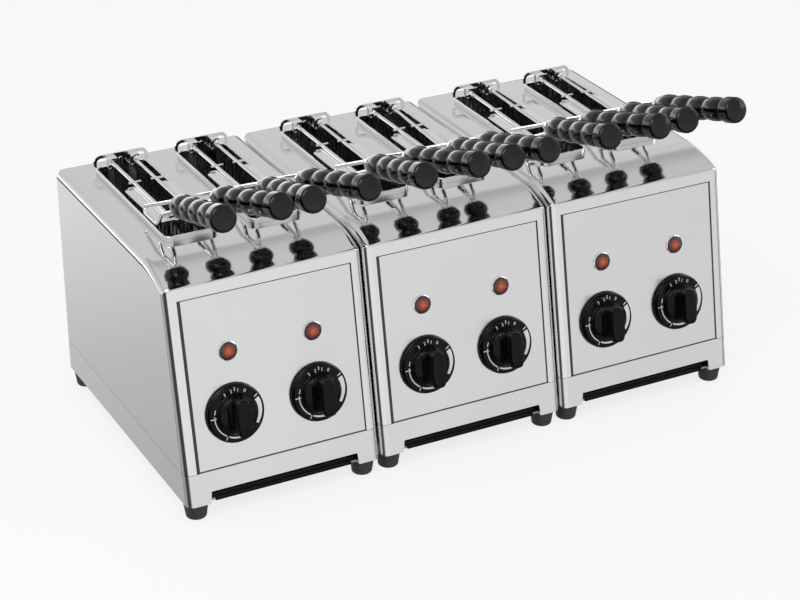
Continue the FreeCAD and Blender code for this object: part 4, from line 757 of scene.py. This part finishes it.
world = bpy.data.worlds.new("studio_surround")
bpy.context.scene.world = world
world.use_nodes = True
tree = world.node_tree
tree.nodes.clear()
direction = add(tree, "TexCoord").outputs["Generated"]
reversed_way = add(tree, "Mapping", {"Vector": direction}, Scale=(-1.0, -1.0, 1.0)).outputs[0]
west, south, up = add(tree, "SeparateXYZ", {0: reversed_way}).outputs
rise = add(tree, "Math", {0: up}, operation="ARCSINE").outputs[0]
rise = add(tree, "MapRange", {"Value": rise}, From_Min=-math.pi / 2,
           From_Max=math.pi / 2).outputs[0]
round_way = add(tree, "Math", {0: south, 1: west}, operation="ARCTAN2").outputs[0]
round_way = add(tree, "MapRange", {"Value": round_way}, From_Min=-math.pi,
                From_Max=math.pi).outputs[0]

# Behind: the levels, times the strip's gain
rear = add(tree, "ValToRGB", {"Fac": rise}, by_elevation(REAR_LEVELS)).outputs[0]
strip = add(tree, "ValToRGB", {"Fac": rise}, by_elevation(STRIP_LEVELS)).outputs[0]
strip = add(tree, "MapRange", {"Value": strip}, To_Min=1.0, To_Max=STRIP_GAIN).outputs[0]
rear = add(tree, "Math", {0: rear, 1: strip}, operation="MULTIPLY").outputs[0]
# In front: the levels, darker to the right
front = add(tree, "ValToRGB", {"Fac": rise}, by_elevation(FRONT_LEVELS)).outputs[0]
dimming = add(tree, "MapRange", {"Value": west}, From_Min=FRONT_SIDES[0], From_Max=FRONT_SIDES[1],
              To_Min=FRONT_GAINS[0], To_Max=FRONT_GAINS[1]).outputs[0]
front = add(tree, "Math", {0: front, 1: dimming}, operation="MULTIPLY").outputs[0]
surround = add(tree, "MapRange", {"Value": south, "To Min": rear, "To Max": front},
               From_Min=BLEND[0], From_Max=BLEND[1]).outputs[0]
# Round about: the cards, below eye level
cards = add(tree, "ValToRGB", {"Fac": round_way}, by_bearing(SIDE_CARDS)).outputs[0]
card_share = add(tree, "MapRange", {"Value": up, "To Min": cards}, From_Min=CARD_FADE[0],
                 From_Max=CARD_FADE[1], To_Max=1.0).outputs[0]
surround = add(tree, "Math", {0: surround, 1: card_share}, operation="MULTIPLY").outputs[0]
# The low dark card, where both its bearings and its levels are white
across_card = add(tree, "ValToRGB", {"Fac": round_way}, by_bearing(LOW_CARD_BEARINGS)).outputs[0]
up_card = add(tree, "ValToRGB", {"Fac": rise}, by_elevation(LOW_CARD_LEVELS)).outputs[0]
low_card = add(tree, "Math", {0: across_card, 1: up_card}, operation="MULTIPLY").outputs[0]
low_card = add(tree, "MapRange", {"Value": low_card}, To_Min=1.0, To_Max=LOW_CARD_GAIN).outputs[0]
surround = add(tree, "Math", {0: surround, 1: low_card}, operation="MULTIPLY").outputs[0]
# The camera sees plain white, and what shines sees the tent
path = add(tree, "LightPath")
seen = add(tree, "Math", {0: path.outputs["Is Camera Ray"], 1: path.outputs["Is Transmission Ray"]},
           operation="MAXIMUM")
tent = add(tree, "Background", {"Strength": surround}, Color=linear("ffffff"))
white = add(tree, "Background", Color=linear("ffffff"), Strength=1.0)
mix = add(tree, "MixShader", {0: seen.outputs[0], 1: tent.outputs[0], 2: white.outputs[0]})
add(tree, "OutputWorld", {"Surface": mix.outputs[0]})

# The floor: matt white paint that the camera sees almost as white as the backdrop, with the
# object's shadow kept. Metal looks through it to the tent, so that its reflections stay even.
FLOOR_SIZE = 60.0
FLOOR_GLOW = 0.8
floor_mesh = bpy.data.meshes.new("floor")
half = FLOOR_SIZE / 2
floor_mesh.from_pydata(
    [(-half, -half, 0), (half, -half, 0), (half, half, 0), (-half, half, 0)], [], [(0, 1, 2, 3)])
floor = bpy.data.objects.new("floor", floor_mesh)
bpy.context.collection.objects.link(floor)
floor_paint, floor_tree, floor_shader = new_material("white_floor_paint")
floor_shader.inputs["Base Color"].default_value = linear("f2f2f2")
floor_shader.inputs["Roughness"].default_value = 0.8
floor_path = add(floor_tree, "LightPath")
watched = add(floor_tree, "Math", {0: floor_path.outputs["Is Camera Ray"],
                                   1: floor_path.outputs["Is Transmission Ray"]},
              operation="MAXIMUM")
share = add(floor_tree, "MapRange", {"Value": watched.outputs[0]}, To_Max=FLOOR_GLOW)
glow = add(floor_tree, "Emission", Color=linear("ffffff"), Strength=1.0)
lit = add(floor_tree, "MixShader", {0: share.outputs[0], 1: floor_shader.outputs[0],
                                    2: glow.outputs[0]})
clear = add(floor_tree, "BsdfTransparent")
look = add(floor_tree, "MixShader", {0: floor_path.outputs["Is Glossy Ray"], 1: lit.outputs[0],
                                     2: clear.outputs[0]})
floor_output = next(n for n in floor_tree.nodes if n.type == "OUTPUT_MATERIAL")
floor_tree.links.new(look.outputs[0], floor_output.inputs["Surface"])
floor_mesh.materials.append(floor_paint)

# The camera stands to the left of the front and looks down, as in the photograph
CAMERA_PLACE = (-0.84625, -1.6106, 1.00665)
CAMERA_TURN = math.radians(27.66)
CAMERA_TILT = math.radians(26.83)
CAMERA_LENS = 101.2
camera_data = bpy.data.cameras.new("camera")
camera_data.lens = CAMERA_LENS
camera_data.sensor_width = 36.0
camera = bpy.data.objects.new("camera", camera_data)
bpy.context.collection.objects.link(camera)
camera.location = CAMERA_PLACE
camera.rotation_euler = (math.pi / 2 - CAMERA_TILT, 0, -CAMERA_TURN)
bpy.context.scene.camera = camera
bpy.context.scene.view_settings.view_transform = "Standard"
